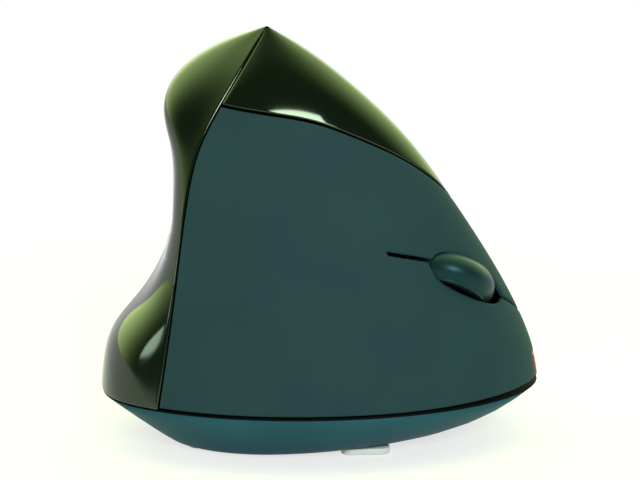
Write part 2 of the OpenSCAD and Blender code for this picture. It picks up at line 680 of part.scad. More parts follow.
// Base tray: flat underside, flared sides and a shelf inside the belt line
floor_t = 2;
floor_top = foot_proud + floor_t;
base_top = belt_height - seam_gap / 2;
front_flare = 0.32;
rear_flare = 0.94;
side_wall = 2.4;
shelf_in = wall + press_gap;
shelf_t = 1.2;
shelf_up = 0.9;
shelf_drop = 1.6;
ring_s = concat([for (i = [0:23]) i / 24], [for (i = [0:13]) 1 + i / 14], [for (i = [0:13]) 2 + i / 14],
  [for (i = [0:9]) 3 + i / 10]);
function tray(s, z, d) = let (p = skin(s, belt_height), n = outward(s, belt_height), e = unit([n[0], n[1]]),
    q = [-flat_back + flat_length / 2 * p[0] / half_l, flat_width / 2 * p[1] / half_w],
    k = mix(rear_flare, front_flare, 0.5 + 0.5 * p[0] / half_l),
    f = max(0, (min(z, belt_height) - foot_proud) / (belt_height - foot_proud)) ^ k,
    xy = mix(q, [p[0], p[1]], f) - d * e)
  [xy[0], xy[1], z];
hull_rows = [0, 0.01, 0.04, 0.1, 0.2, 0.36, 0.56, 0.78, 1];
tray_rows = concat([for (t = hull_rows) [mix(foot_proud, base_top, t), 0]],
  [[base_top, shelf_in], [base_top + shelf_up, shelf_in], [base_top + shelf_up, shelf_in + shelf_t],
    [base_top - shelf_drop, shelf_in + shelf_t]],
  [for (t = [0.62, 0.4, 0.2, 0]) [mix(floor_top, base_top, t), side_wall]]);
module tray_solid() {
  n = len(ring_s);
  rows = len(tray_rows);
  low = n * rows;
  high = low + 1;
  walls = [for (j = [0:rows - 2]) for (i = [0:n - 1])
    let (k = (i + 1) % n, a = j * n + i, b = j * n + k, c = b + n, d = a + n) each [[a, d, c], [a, c, b]]];
  ends = [for (i = [0:n - 1]) let (k = (i + 1) % n, top = (rows - 1) * n)
    each [[i, k, low], [top + k, top + i, high]]];
  polyhedron(points = concat([for (r = tray_rows) for (s = ring_s) tray(s, r[0], r[1])],
    [[-flat_back, 0, foot_proud], [-flat_back, 0, floor_top]]), faces = concat(walls, ends), convexity = 8);
}

// Places on the underside: battery bay, case screws, sensor, power switch and glide feet
bay_x = -6.5;
spring_l = 2.6;
contact_t = 0.4;
bay_l = spring_l + cell_l + contact_t + 1;
bay_w = cell_d + 2 * cell_gap;
box_t = 1.5;
ledge = 1;
boss_d = 5.6;
boss_off = 0.5;
screw_y = bay_w / 2 + box_t + boss_d / 2 + boss_off;
screw_x = [-19, 16.5];
screw_spots = [for (x = screw_x) for (side = [-1, 1]) [x, side * screw_y]];
sensor_spot = [-4, 15];
sensor_d = 7;
sensor_fit = 0.3;
power_spot = [-6, -15];
foot_fit = 0.15;
foot_turn = 16;
foot_spots = [for (side = [-1, 1]) each [[10, side * 19.2, 0], [-27.5, side * 12.6, side * foot_turn]]];
module oval(l, w, h) {
  translate([-(l - w) / 2, -w / 2, 0]) cube([l - w, w, h]);
  for (side = [-1, 1]) translate([side * (l - w) / 2, 0, 0]) cylinder(d = w, h = h);
}
module at_feet() {
  for (p = foot_spots) translate([p[0], p[1], 0]) rotate([0, 0, p[2]]) children();
}
knob = [3, 2.2];
knob_gap = 0.5;
board_spots = [[-12.5, 20.5], [10, 20.5]];
board_rise = 3.9;
main_board_low = floor_top + board_rise;
peg_d = 4.4;
pin_d = 1.6;
pin_deep = 3;
head_sunk = 0.85;
screw_l = 9;
module base_shell() {
  through = floor_top + past;
  color("cadetblue") difference() {
    union() {
      tray_solid();
      for (p = board_spots) translate([p[0], p[1], floor_top - bite])
        cylinder(d = peg_d, h = board_rise + bite);
    }
    translate([bay_x - bay_l / 2 - ledge, -bay_w / 2 - ledge, 0])
      cube([bay_l + 2 * ledge, bay_w + 2 * ledge, through]);
    translate([sensor_spot[0], sensor_spot[1], 0]) cylinder(d = sensor_d, h = through);
    translate([power_spot[0], power_spot[1], 0])
      oval(knob[0] + power_travel + 2 * knob_gap, knob[1] + 2 * knob_gap, through);
    for (p = screw_spots) translate([p[0], p[1], 0]) {
      cylinder(d = screw_d + 2 * screw_fit, h = through);
      cylinder(d = head_d + 2 * screw_fit, h = foot_proud + head_sunk);
    }
    at_feet() oval(foot_l + 2 * foot_fit, foot_w + 2 * foot_fit, foot_t);
    for (p = board_spots) translate([p[0], p[1], main_board_low - pin_deep])
      cylinder(d = pin_d, h = pin_deep + past);
  }
}
module glide_feet() {
  color("white") at_feet() oval(foot_l, foot_w, foot_t);
}
case_head = 0.7;
module case_screws() {
  color("silver") for (p = screw_spots) translate([p[0], p[1], foot_proud + head_sunk]) union() {
    translate([0, 0, -case_head]) cylinder(d = head_d, h = case_head);
    translate([0, 0, -bite]) cylinder(d = screw_d, h = screw_l + bite);
  }
}

// Battery door, cell and contacts
door_top = foot_proud + door_t;
rib = [0.7, 10, 0.5];
rib_pitch = 1.6;
ribs_in = 8;
module battery_door() {
  l = bay_l + 2 * ledge - 2 * cell_gap;
  w = bay_w + 2 * ledge - 2 * cell_gap;
  color("cadetblue") difference() {
    translate([bay_x - l / 2, -w / 2, foot_proud]) cube([l, w, door_t]);
    for (i = [-2:2]) translate([bay_x + l / 2 - ribs_in + rib_pitch * i, -rib[1] / 2, foot_proud - past])
      cube([rib[0], rib[1], rib[2] + past]);
  }
}
cell_z = door_top + cell_gap + cell_d / 2;
cell_from = bay_x - bay_l / 2 + spring_l;
nub_l = 1.4;
nub_d = 5.4;
module battery_cell() {
  color("goldenrod") translate([cell_from, 0, cell_z]) rotate([0, 90, 0]) union() {
    cylinder(d = cell_d, h = cell_l - nub_l);
    cylinder(d = nub_d, h = cell_l);
  }
}
contact_h = 9;
spring_d = [8, 4.5];
module spring_contact() {
  from = bay_x - bay_l / 2 + seat_gap;
  color("silver") union() {
    translate([from, -contact_h / 2, cell_z - contact_h / 2]) cube([contact_t, contact_h, contact_h]);
    translate([from, 0, cell_z]) rotate([0, 90, 0])
      cylinder(d1 = spring_d[0], d2 = spring_d[1], h = cell_from - from - seat_gap);
  }
}
module flat_contact() {
  from = cell_from + cell_l + seat_gap;
  to = bay_x + bay_l / 2 - seat_gap;
  color("silver") translate([from, -contact_h / 2, cell_z - contact_h / 2])
    cube([to - from, contact_h, contact_h]);
}

// Inner frame: battery box, leaning plate, wheel cradle and screw bosses in one moulding
box_low = floor_top + seat_gap;
box_top = cell_z + cell_d / 2 + cell_gap;
box_front = bay_x + bay_l / 2 + box_t;
boss_h = 13;
web_t = 2;
led_d = 3;
led_l = 7;
led_in = 4;
led_rim = 0.4;
led_z = belt_height + 3.2;
nose_room = 11.8;
arm = [4.6, 5];
arm_front = skin(1, led_z)[0] - nose_room;
// Room round the boards where the frame is cut back for them
relief = 0.3;
relief_h = 8;
plate_x = [-14, 20];
plate_low = (box_top + box_t / 2 - plate_top * board_out[2]) / board_up[2];
function post_foot(spot) =
  thumb_mid + spot[0] * thumb_aft + (thumb_board_low - thumb_post(spot)) * thumb_out;
plate_past = 3;
plate_high = max(post_foot(front_spot) * board_up + post_w / 2, post_foot(rear_spot) * board_up + post_w / 2,
  board_high - plate_past);
module inner_frame() {
  color("slategray") difference() {
    union() {
      translate([bay_x - bay_l / 2 - box_t, -bay_w / 2 - box_t, box_low])
        cube([bay_l + 2 * box_t, bay_w + 2 * box_t, box_top + box_t - box_low]);
      for (p = screw_spots) {
        translate([p[0], p[1], box_low]) cylinder(d = boss_d, h = boss_h);
        translate([p[0] - web_t / 2, p[1] > 0 ? bay_w / 2 : p[1], box_low])
          cube([web_t, abs(p[1]) - bay_w / 2, boss_h]);
      }
      translate([box_front - past, -arm[0] / 2, led_z - arm[1] / 2])
        cube([arm_front - box_front + past, arm[0], arm[1]]);
      difference() {
        board_frame() translate([plate_x[0], plate_low, plate_top - plate_t])
          cube([plate_x[1] - plate_x[0], plate_high - plate_low, plate_t]);
        wheel_well(plate_well, cradle_top);
      }
      board_frame() for (p = board_posts) translate([p[0], p[1], plate_top - bite])
        cylinder(d = post_w, h = post_h + bite);
      wheel_frame() wheel_cradle();
      thumb_frame() for (p = [front_spot, rear_spot])
        translate([p[0], 0, thumb_board_low - thumb_post(p)]) cylinder(d = post_w, h = thumb_post(p));
    }
    board_blank(relief_h, relief);
    thumb_blank(relief_h, relief);
    translate([bay_x - bay_l / 2, -bay_w / 2, 0]) cube([bay_l, bay_w, box_top]);
    for (p = screw_spots) translate([p[0], p[1], 0])
      cylinder(d = screw_d, h = foot_proud + head_sunk + screw_l);
    translate([arm_front - led_in, 0, led_z]) rotate([0, 90, 0])
      cylinder(d = led_d + 2 * seat_gap, h = led_in + past);
    board_frame() for (p = board_posts) translate([p[0], p[1], plate_top])
      cylinder(d = screw_d, h = post_h + past);
    wheel_frame() {
      translate([0, 0, chamber_top - past]) cylinder(d = stem_d + 2 * run_gap, h = sleeve_l + 2 * past);
      translate([0, 0, click_board_top - past]) cylinder(d = chamber_d, h = chamber_l + past);
    }
  }
}
module wheel_cradle() {
  long = cradle_x[1] - cradle_x[0];
  low = cradle_top - cradle_t;
  for (y = [cradle_in, -cradle_in - cradle_side])
    translate([cradle_x[0], y, low]) cube([long, cradle_side, cradle_t + cradle_h]);
  translate([cradle_x[0], -cradle_in - cradle_side, low])
    cube([long, 2 * (cradle_in + cradle_side), cradle_t]);
  translate([0, 0, click_board_top]) cylinder(d = cradle_d, h = cradle_top - click_board_top);
}
module nose_led() {
  color("red") translate([arm_front - led_in, 0, led_z]) rotate([0, 90, 0]) union() {
    cylinder(d = led_d, h = led_l);
    translate([0, 0, led_l]) sphere(d = led_d);
    translate([0, 0, led_in + seat_gap]) cylinder(d = led_d + 2 * led_rim, h = 2 * led_rim);
  }
}

// Optical sensor on the main board, over its lens
board_from = [-15.3, 10.3];
board_to = [12.6, 23.4];
chip = [10, 8, 2.2];
lens_plate = [12, 8];
lens_in = 0.6;
module main_board() {
  color("darkgreen") difference() {
    translate([board_from[0], board_from[1], main_board_low])
      cube([board_to[0] - board_from[0], board_to[1] - board_from[1], board_t]);
    for (p = board_spots) translate([p[0], p[1], main_board_low - past])
      cylinder(d = screw_d + 2 * screw_fit, h = board_t + 2 * past);
  }
}
module sensor_chip() {
  color("black") translate([sensor_spot[0], sensor_spot[1], main_board_low + board_t])
    translate([-chip[0] / 2, -chip[1] / 2, 0]) cube(chip);
}
module sensor_lens() {
  color("lightcyan") translate([sensor_spot[0], sensor_spot[1], 0]) union() {
    translate([0, 0, foot_proud + lens_in]) cylinder(d = sensor_d - 2 * sensor_fit, h = floor_t);
    translate([-lens_plate[0] / 2, -lens_plate[1] / 2, floor_top + seat_gap])
      cube([lens_plate[0], lens_plate[1], board_rise - 2 * seat_gap]);
  }
}

// Power switch, with a knob in a slot of the underside
switch_box = [10, 5.2, 3.6];
slot_fit = 0.2;
slot_deep = 1.6;
knob_sunk = 0.3;
knob_end = 0.45;
module power_switch() {
  color("gray") translate([power_spot[0], power_spot[1], floor_top + seat_gap]) difference() {
    translate([-switch_box[0] / 2, -switch_box[1] / 2, 0]) cube(switch_box);
    translate([0, 0, -past])
      oval(knob[0] + power_travel + 2 * slot_fit, knob[1] + 2 * slot_fit, slot_deep + past);
  }
}
module power_knob() {
  low = foot_proud + knob_sunk;
  color("white") translate([power_spot[0] - power_travel / 2, power_spot[1], low])
    oval(knob[0], knob[1], floor_top + slot_deep - knob_end - low);
}

base_shell();
thumb_shell();
crest_cover();
finger_panel();
upper_button();
lower_button();
nose_lens();
inner_frame();
battery_door();
battery_cell();
spring_contact();
flat_contact();
glide_feet();
main_board();
sensor_chip();
sensor_lens();
nose_led();
button_board();
upper_switch();
upper_plunger();
lower_switch();
lower_plunger();
scroll_hub();
scroll_tyre();
scroll_axle();
wheel_yoke();
scroll_encoder();
click_board();
click_switch();
click_plunger();
thumb_button_front();
thumb_button_rear();
thumb_board();
thumb_switches();
thumb_plunger_front();
thumb_plunger_rear();
power_switch();
power_knob();
case_screws();
board_screws();
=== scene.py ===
"""Looks of the vertical ergonomic mouse: shells, wheel, finishes and studio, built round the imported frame.

Sizes are millimetres in the body's own frame: X from heel to nose, Y from the finger side to the thumb side,
Z up from the desk. A mesh is written in metres.
"""

import json
import logging
import math
from dataclasses import dataclass, field
from enum import Enum
from functools import cached_property

import bmesh
import bpy
import numpy as np
from mathutils import Matrix, Vector


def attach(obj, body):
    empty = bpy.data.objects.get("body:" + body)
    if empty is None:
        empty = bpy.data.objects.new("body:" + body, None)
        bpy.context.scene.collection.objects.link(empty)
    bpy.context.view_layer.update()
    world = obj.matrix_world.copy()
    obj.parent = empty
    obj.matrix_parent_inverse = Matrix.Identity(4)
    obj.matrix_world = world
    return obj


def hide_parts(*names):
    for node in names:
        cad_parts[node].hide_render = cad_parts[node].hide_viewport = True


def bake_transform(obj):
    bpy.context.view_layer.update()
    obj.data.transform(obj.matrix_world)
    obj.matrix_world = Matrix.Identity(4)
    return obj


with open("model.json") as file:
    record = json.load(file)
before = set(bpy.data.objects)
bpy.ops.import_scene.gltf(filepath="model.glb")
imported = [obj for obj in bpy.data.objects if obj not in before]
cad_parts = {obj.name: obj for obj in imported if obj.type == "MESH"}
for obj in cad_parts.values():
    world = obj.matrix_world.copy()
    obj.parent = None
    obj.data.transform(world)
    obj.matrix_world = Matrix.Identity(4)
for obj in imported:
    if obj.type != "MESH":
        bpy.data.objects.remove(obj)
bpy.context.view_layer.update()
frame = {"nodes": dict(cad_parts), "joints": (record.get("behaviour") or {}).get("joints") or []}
MM = 0.001
# Points closer than this are one, in a copy of a solid and in a full spin
SOLID_MERGE = 1e-6
SPIN_MERGE = 1e-5
# The scroll wheel, which its opening follows
WHEEL_D = 24.0
WHEEL_W = 7.6
# The way once round the body, at which the rear seam comes back
FULL_WAY = 4.0
LOG = logging.getLogger("mouse")
Array = np.ndarray


class Side(Enum):
    """The halves of the finger face, over and under the slit."""

    UPPER = 1
    LOWER = -1


class Thumb(Enum):
    """The two thumb buttons, by the names of their nodes."""

    FRONT = "thumb_button_front"
    REAR = "thumb_button_rear"


class Curve:
    """A natural cubic spline through (place, value) knots."""

    def __init__(self, *knots: tuple[float, float]) -> None:
        """Works out the bending at each knot.

        Args:
            knots: the places, rising, and the values there.
        """
        self.place, self.value = np.array(knots, float).T
        gap = np.diff(self.place)
        slope = np.diff(self.value) / gap
        count = len(knots)
        system = np.eye(count)
        right = np.zeros(count)
        for i in range(1, count - 1):
            system[i, i - 1:i + 2] = gap[i - 1], 2 * (gap[i - 1] + gap[i]), gap[i]
            right[i] = 6 * (slope[i] - slope[i - 1])
        self.bend = np.linalg.solve(system, right)

    def __call__(self, t: Array | float) -> Array:
        """Gives the values at places.

        Args:
            t: the places.

        Returns:
            The values there.
        """
        t = np.asarray(t, float)
        i = np.clip(np.searchsorted(self.place, t, side="right") - 1, 0, len(self.place) - 2)
        h = self.place[i + 1] - self.place[i]
        u = self.place[i + 1] - t
        v = t - self.place[i]
        bent = (self.bend[i] * u ** 3 + self.bend[i + 1] * v ** 3) / (6 * h)
        low = (self.value[i] / h - self.bend[i] * h / 6) * u
        return bent + low + (self.value[i + 1] / h - self.bend[i + 1] * h / 6) * v


# Side view, as shares of the half length over the share of the rise
HEEL_X = Curve((0, -0.987), (0.1, -0.97), (0.19, -0.917), (0.27, -0.811), (0.36, -0.718), (0.46, -0.659),
               (0.55, -0.652), (0.68, -0.658), (0.79, -0.685), (0.88, -0.6), (0.95, -0.42), (1, -0.23))
SEAM_X = Curve((0, -0.742), (0.32, -0.658), (0.58, -0.593), (0.7, -0.539), (0.8, -0.45), (0.9, -0.341),
               (1, -0.23))
RIDGE_X = Curve((0, 0.993), (0.1, 0.963), (0.22, 0.888), (0.38, 0.746), (0.54, 0.577), (0.7, 0.384),
                (0.86, 0.11), (0.93, -0.043), (1, -0.23))
THUMB_X = Curve((0, -0.069), (0.4, -0.177), (0.8, -0.325), (1, -0.23))
# Front view, as shares of the half width
RIDGE_Y = Curve((0, 0.03), (0.3, -0.09), (0.6, -0.104), (0.85, -0.015), (1, 0.075))
FINGER_Y = Curve((0, -1), (0.3, -0.746), (0.6, -0.478), (0.85, -0.224), (1, 0.075))
THUMB_Y = Curve((0, 1), (0.1, 0.925), (0.22, 0.716), (0.38, 0.525), (0.52, 0.501), (0.68, 0.582),
                (0.79, 0.612), (0.88, 0.537), (0.95, 0.358), (1, 0.075))
HEEL_Y = Curve((0, -0.03), (0.4, 0.03), (0.7, 0), (0.8, 0.1), (0.88, 0.21), (0.95, 0.21), (1, 0.075))
# Turn of the skin at the seam behind the fingers, in degrees
CREASE = Curve((0, 0), (0.25, 14), (0.45, 34), (0.6, 26), (0.8, 10), (0.9, 8), (1, 22))
# Seam over the fingers and slit between the buttons, as shares of the rise over the way along the face
CREST_LINE = Curve((0, 0.809), (0.3, 0.787), (0.5, 0.758), (0.65, 0.71), (0.75, 0.671), (0.9, 0.599),
                   (1.2, 0.45))
SLIT_LINE = Curve((0.5, 0.439), (0.56, 0.425), (0.62, 0.411), (0.66, 0.399), (0.745, 0.354), (0.86, 0.284),
                  (1, 0.219), (1.2, 0.135))


def mix(a: Array | float, b: Array | float, t: Array | float) -> Array | float:
    """Goes from a to b as t goes from 0 to 1."""
    return a + (b - a) * t


def ease(t: Array | float) -> Array:
    """Goes from 0 to 1 with a soft start and end."""
    c = np.clip(t, 0.0, 1.0)
    return c * c * (3 - 2 * c)


def unit(v: Array) -> Array:
    """Gives vectors the length 1."""
    return v / np.linalg.norm(v, axis=-1, keepdims=True)


@dataclass(frozen=True)
class Skin:
    """The outer skin of the body.

    The way s runs from the rear seam at 0 along the finger face to the ridge at 1, on to the thumb face at 2,
    to the heel at 3 and back to the rear seam at 4.

    Attributes:
        length: twice the length that the shares of the side view are taken of.
        width: twice the width that the shares of the front view are taken of.
        height: the height of the peak.
        start: the height of the first knots.
        face_back: how far the arc of the finger face goes on behind its middle, as a share of its radius.
        heel_hold: how long the rear curve holds its direction at the heel.
        seam_hold: how long it holds its direction at the rear seam.
        least_drop: the least of its depth, as a share of its reach.
        probe_s: the step along the way for directions.
        probe_z: the step of the height for directions.
        peak_span: the height under the peak over which the inner face falls back.
        peak_drop: how far it falls back at the peak.
        peak_thin: the share of the wall that is lost there.
    """

    length: float = 111.2
    width: float = 67.0
    height: float = 102.5
    start: float = 11.0
    face_back: float = 0.7
    heel_hold: float = 0.55
    seam_hold: float = 0.4
    least_drop: float = 0.3
    probe_s: float = 0.02
    probe_z: float = 0.3
    peak_span: float = 24.0
    peak_drop: float = 6.5
    peak_thin: float = 0.45

    @property
    def rise(self) -> float:
        """The height from the first knot to the peak."""
        return self.height - self.start

    @property
    def face_turn(self) -> float:
        """The angle that the arc of the finger face spans, in radians."""
        return math.acos(-self.face_back)

    def crest_z(self, s: Array | float) -> Array:
        """The height of the seam over the fingers."""
        return self.start + self.rise * CREST_LINE(s)

    def slit_z(self, s: Array | float) -> Array:
        """The height of the slit, which runs straight on behind the button roots.

        Args:
            s: the way along the face.

        Returns:
            The height of the slit's middle.
        """
        first = SLIT_LINE.place[0]
        step = 0.01
        fall = (SLIT_LINE(first + step) - SLIT_LINE(first)) / step
        line = np.where(np.asarray(s) < first, SLIT_LINE(first) + fall * (s - first), SLIT_LINE(s))
        return self.start + self.rise * line

    def at(self, s: Array | float, z: Array | float) -> Array:
        """Gives points of the skin.

        Args:
            s: the way round the body.
            z: the height.

        Returns:
            The points, with x, y and z along the last axis.
        """
        s, z = np.broadcast_arrays(np.mod(np.asarray(s, float), FULL_WAY), np.asarray(z, float))
        t = (z - self.start) / self.rise
        half_l, half_w = self.length / 2, self.width / 2
        xf, xs, xt, xh = (half_l * c(t) for c in (RIDGE_X, SEAM_X, THUMB_X, HEEL_X))
        yf, yn, yt, yh = (half_w * c(t) for c in (RIDGE_Y, FINGER_Y, THUMB_Y, HEEL_Y))
        a = (xf - xs) / (1 + self.face_back)
        deep = yf - yn
        turn = self.face_turn
        p = turn * (1 - s)
        finger = xf - a + a * np.cos(p), yf - deep * np.sin(p)
        q = np.radians(90) * (s - 1)
        front = xt + (xf - xt) * np.cos(q), yf + (yt - yf) * np.sin(q)
        heel = xt - (xh - xt) * np.cos(q), yh + (yt - yh) * np.sin(q)
        ax, ay = xf - a + a * math.cos(turn), yf - deep * math.sin(turn)
        reach = np.hypot(ax - xh, ay - yh)
        drop = np.maximum(yh - ay, self.least_drop * reach)
        head = np.arctan2(-deep * math.cos(turn), -a * math.sin(turn)) - np.radians(CREASE(t))
        u = s - 3
        b0, b1, b2, b3 = (1 - u) ** 3, 3 * (1 - u) ** 2 * u, 3 * (1 - u) * u ** 2, u ** 3
        rear_x = b0 * xh + b1 * xh + b2 * (ax + self.seam_hold * reach * np.cos(head)) + b3 * ax
        rear_y = (b0 * yh + b1 * (yh - self.heel_hold * drop)
                  + b2 * (ay + self.seam_hold * reach * np.sin(head)) + b3 * ay)
        where = [s <= 1, s <= 2, s <= 3]
        x = np.select(where, [finger[0], front[0], heel[0]], rear_x)
        y = np.select(where, [finger[1], front[1], heel[1]], rear_y)
        return np.stack([x, y, z], axis=-1)

    def outward(self, s: Array | float, z: Array | float) -> Array:
        """The outward direction of the skin.

        Args:
            s: the way round the body.
            z: the height.

        Returns:
            Vectors of length 1.
        """
        along = self.at(s + self.probe_s, z) - self.at(s - self.probe_s, z)
        up = self.at(s, z + self.probe_z) - self.at(s, z - self.probe_z)
        return unit(np.cross(along, up))

    def pace(self, s: Array | float, z: Array | float) -> Array:
        """The step of s that makes one millimetre along the skin."""
        along = self.at(s + self.probe_s, z) - self.at(s - self.probe_s, z)
        return 2 * self.probe_s / np.linalg.norm(along, axis=-1)

    def way_at(self, x: float, z: float) -> float:
        """The way along the finger face that has a given x.

        Args:
            x: the place from heel to nose.
            z: the height.

        Returns:
            The way.
        """
        t = (z - self.start) / self.rise
        xf = self.length / 2 * RIDGE_X(t)
        a = (xf - self.length / 2 * SEAM_X(t)) / (1 + self.face_back)
        return float(1 - np.arccos((x - xf + a) / a) / self.face_turn)

    def inside(self, s: Array, z: Array, wall: Array | float, low: float) -> Array:
        """The inner face of a wall, which falls back and thins towards the peak.

        Args:
            s: the way round the body.
            z: the height.
            wall: the thickness of the wall.
            low: the lowest height that the inner face reaches.

        Returns:
            The points of the inner face.
        """
        k = np.clip((z - self.height + self.peak_span) / self.peak_span, 0.0, 1.0)
        back = z - self.peak_drop * k ** 2
        points = self.at(s, back) - (wall * (1 - self.peak_thin * k))[..., None] * self.outward(s, back)
        points[..., 2] = np.maximum(points[..., 2], low)
        return points


SKIN = Skin()


@dataclass(frozen=True)
class Edge:
    """An edge of a patch, as a line of points, that is rolled in with a radius."""

    points: Array
    radius: float
    between: int = 6

    def close(self) -> Array:
        """Sets more points between the points of the line.

        Returns:
            The closer points.
        """
        last = len(self.points) - 1
        place = np.linspace(0, last, last * self.between + 1)
        return np.stack([np.interp(place, np.arange(last + 1), c) for c in self.points.T], axis=-1)


def rim(s: Array, z: Array, radius: float) -> list[Edge]:
    """The four edges of a grid of places on the skin.

    Args:
        s: the ways of the grid.
        z: the heights of the grid.
        radius: the radius that the edges are rolled with.

    Returns:
        The edges.
    """
    at = SKIN.at(s, z)
    return [Edge(line, radius) for line in (at[0], at[-1], at[:, 0], at[:, -1])]


def edge_share(radius: float, length: float, steps: int = 5) -> Array:
    """Shares of a length at which lines follow a rolled edge.

    Args:
        radius: the radius of the roll.
        length: the length from this edge to the other.
        steps: how many lines the roll takes.

    Returns:
        The shares, from the edge inwards, without the end of the roll.
    """
    turn = np.linspace(0.5 * math.pi, 0, steps, endpoint=False)
    return radius / length * (1 - np.sin(turn))


def lines(length: float, radius: float, step: float, least: int = 3) -> Array:
    """Lines across a patch, close at both rolled edges and even between them.

    Args:
        length: the length across the patch.
        radius: the radius of the rolled edges.
        step: the distance of the even lines.
        least: how many even lines there are at least.

    Returns:
        The shares of the length, from 0 to 1.
    """
    near = edge_share(radius, length)
    core = np.linspace(radius / length, 1 - radius / length, max(least, round(length / step)))
    return np.concatenate([near, core, 1 - near[::-1]])


def finish_mesh(bm: bmesh.types.BMesh, name: str, sharp: float = 40.0) -> bpy.types.Object:
    """Makes an object at the origin of a finished bmesh.

    Args:
        bm: the mesh, in metres, which is freed.
        name: the name of the piece.
        sharp: the angle in degrees past which an edge is sharp.

    Returns:
        The object, linked to the scene.
    """
    mesh = bpy.data.meshes.new(name)
    bm.to_mesh(mesh)
    bm.free()
    mesh.shade_smooth()
    mesh.set_sharp_from_angle(angle=math.radians(sharp))
    piece = bpy.data.objects.new(name, mesh)
    bpy.context.scene.collection.objects.link(piece)
    return piece


def merged_copy(node: str) -> bmesh.types.BMesh:
    """Copies the mesh of a CAD node, with its loose triangles merged.

    Args:
        node: the name of the node.

    Returns:
        The copy.
    """
    bm = bmesh.new()
    bm.from_mesh(frame["nodes"][node].data)
    bmesh.ops.remove_doubles(bm, verts=bm.verts, dist=SOLID_MERGE)
    return bm


def spun(section: list[tuple], closed: bool, axis: tuple[int, int, int], steps: int) -> bmesh.types.BMesh:
    """Spins a section all the way round an axis through the origin.

    Args:
        section: the points of the section, in order.
        closed: whether its last point joins its first.
        axis: the direction of the axis.
        steps: how many steps the spin has.

    Returns:
        The spun mesh, closed at its seam, with its normals worked out again.
    """
    bm = bmesh.new()
    ring = [bm.verts.new(point) for point in section]
    following = ring[1:] + ring[:1] if closed else ring[1:]
    edges = [bm.edges.new(pair) for pair in zip(ring, following)]
    bmesh.ops.spin(bm, geom=ring + edges, cent=(0, 0, 0), axis=axis, angle=2 * math.pi, steps=steps,
                   use_merge=True, use_duplicate=False)
    bmesh.ops.remove_doubles(bm, verts=bm.verts, dist=SPIN_MERGE)
    bmesh.ops.recalc_face_normals(bm, faces=bm.faces)
    return bm


def wall_mesh(name: str, outer: Array, inner: Array, window: Array | None = None) -> bpy.types.Object:
    """Makes a closed wall between two grids of points.

    Args:
        name: the name of the piece.
        outer: the points of the outer face.
        inner: the points of the inner face.
        window: marks the cells of the grid that are left out.

    Returns:
        The object.
    """
    nu, nv = outer.shape[0] - 1, outer.shape[1] - 1
    bm = bmesh.new()
    bmesh.ops.create_grid(bm, x_segments=nu, y_segments=nv, size=1.0)
    row = bm.verts.layers.int.new("row")
    column = bm.verts.layers.int.new("column")
    for v in bm.verts:
        v[row] = round((v.co.x + 1) / 2 * nu)
        v[column] = round((v.co.y + 1) / 2 * nv)
    if window is not None:
        left_out = [f for f in bm.faces
                    if window[min(v[row] for v in f.verts), min(v[column] for v in f.verts)]]
        bmesh.ops.delete(bm, geom=left_out, context="FACES")
    for v in bm.verts:
        v.co = Vector(inner[v[row], v[column]]) * MM
    made = bmesh.ops.extrude_face_region(bm, geom=list(bm.faces), use_keep_orig=True)
    for v in made["geom"]:
        if isinstance(v, bmesh.types.BMVert):
            v.co = Vector(outer[v[row], v[column]]) * MM
    bmesh.ops.recalc_face_normals(bm, faces=bm.faces)
    return finish_mesh(bm, name)


def nearest(points: Array, others: Array, batch: int = 100) -> Array:
    """The distance from each point to the nearest of some others.

    Args:
        points: the points, with x, y and z along the last axis.
        others: the others, as a list of points.
        batch: about how many of the others are compared at a time.

    Returns:
        The distances, in the shape of the points.
    """
    flat = points.reshape(-1, 3)
    away = np.full(len(flat), np.inf)
    for part in np.array_split(others, max(1, len(others) // batch)):
        away = np.minimum(away, np.linalg.norm(flat[:, None] - part[None], axis=-1).min(axis=1))
    return away.reshape(points.shape[:-1])


@dataclass
class Patch:
    """A patch of the shell over a grid of places on the skin, with rolled edges.

    Attributes:
        s: the ways of the grid.
        z: the heights of the grid.
        edges: the edges that are rolled in.
        wall: the thickness of the wall.
        low: the lowest height that the inner face reaches.
        lift: how far the patch stands proud of the skin.
        window: marks the cells of the grid that are left out.
    """

    s: Array
    z: Array
    edges: list[Edge]
    wall: Array | float = 2.0
    low: float = 0.0
    lift: float = 0.0
    window: Array | None = None

    def depth(self, points: Array) -> Array:
        """How far each point lies under the skin, by its distance from the rolled edges.

        Args:
            points: the points of the skin.

        Returns:
            The depth of each point.
        """
        sunk = np.zeros(points.shape[:-1])
        for edge in self.edges:
            into = np.clip(edge.radius - nearest(points, edge.close()), 0, edge.radius)
            sunk = np.maximum(sunk, edge.radius - np.sqrt(edge.radius ** 2 - into ** 2))
        return sunk

    def build(self, name: str) -> bpy.types.Object:
        """Makes the wall of the patch.

        Args:
            name: the name of the piece.

        Returns:
            The object.
        """
        skin = SKIN.at(self.s, self.z)
        out = SKIN.outward(self.s, self.z)
        outer = skin + (self.lift - self.depth(skin))[..., None] * out
        inner = SKIN.inside(self.s, self.z, self.wall, self.low)
        return wall_mesh(name, outer, inner, self.window)


# Finishes


def linear(code: str) -> tuple[float, float, float, float]:
    """Turns an sRGB hex value to a linear colour.

    Args:
        code: six hex digits.

    Returns:
        Red, green, blue and an alpha of 1.
    """
    parts = [int(code[i:i + 2], 16) / 255 for i in (0, 2, 4)]
    red, green, blue = (c / 12.92 if c <= 0.04045 else ((c + 0.055) / 1.055) ** 2.4 for c in parts)
    return red, green, blue, 1.0


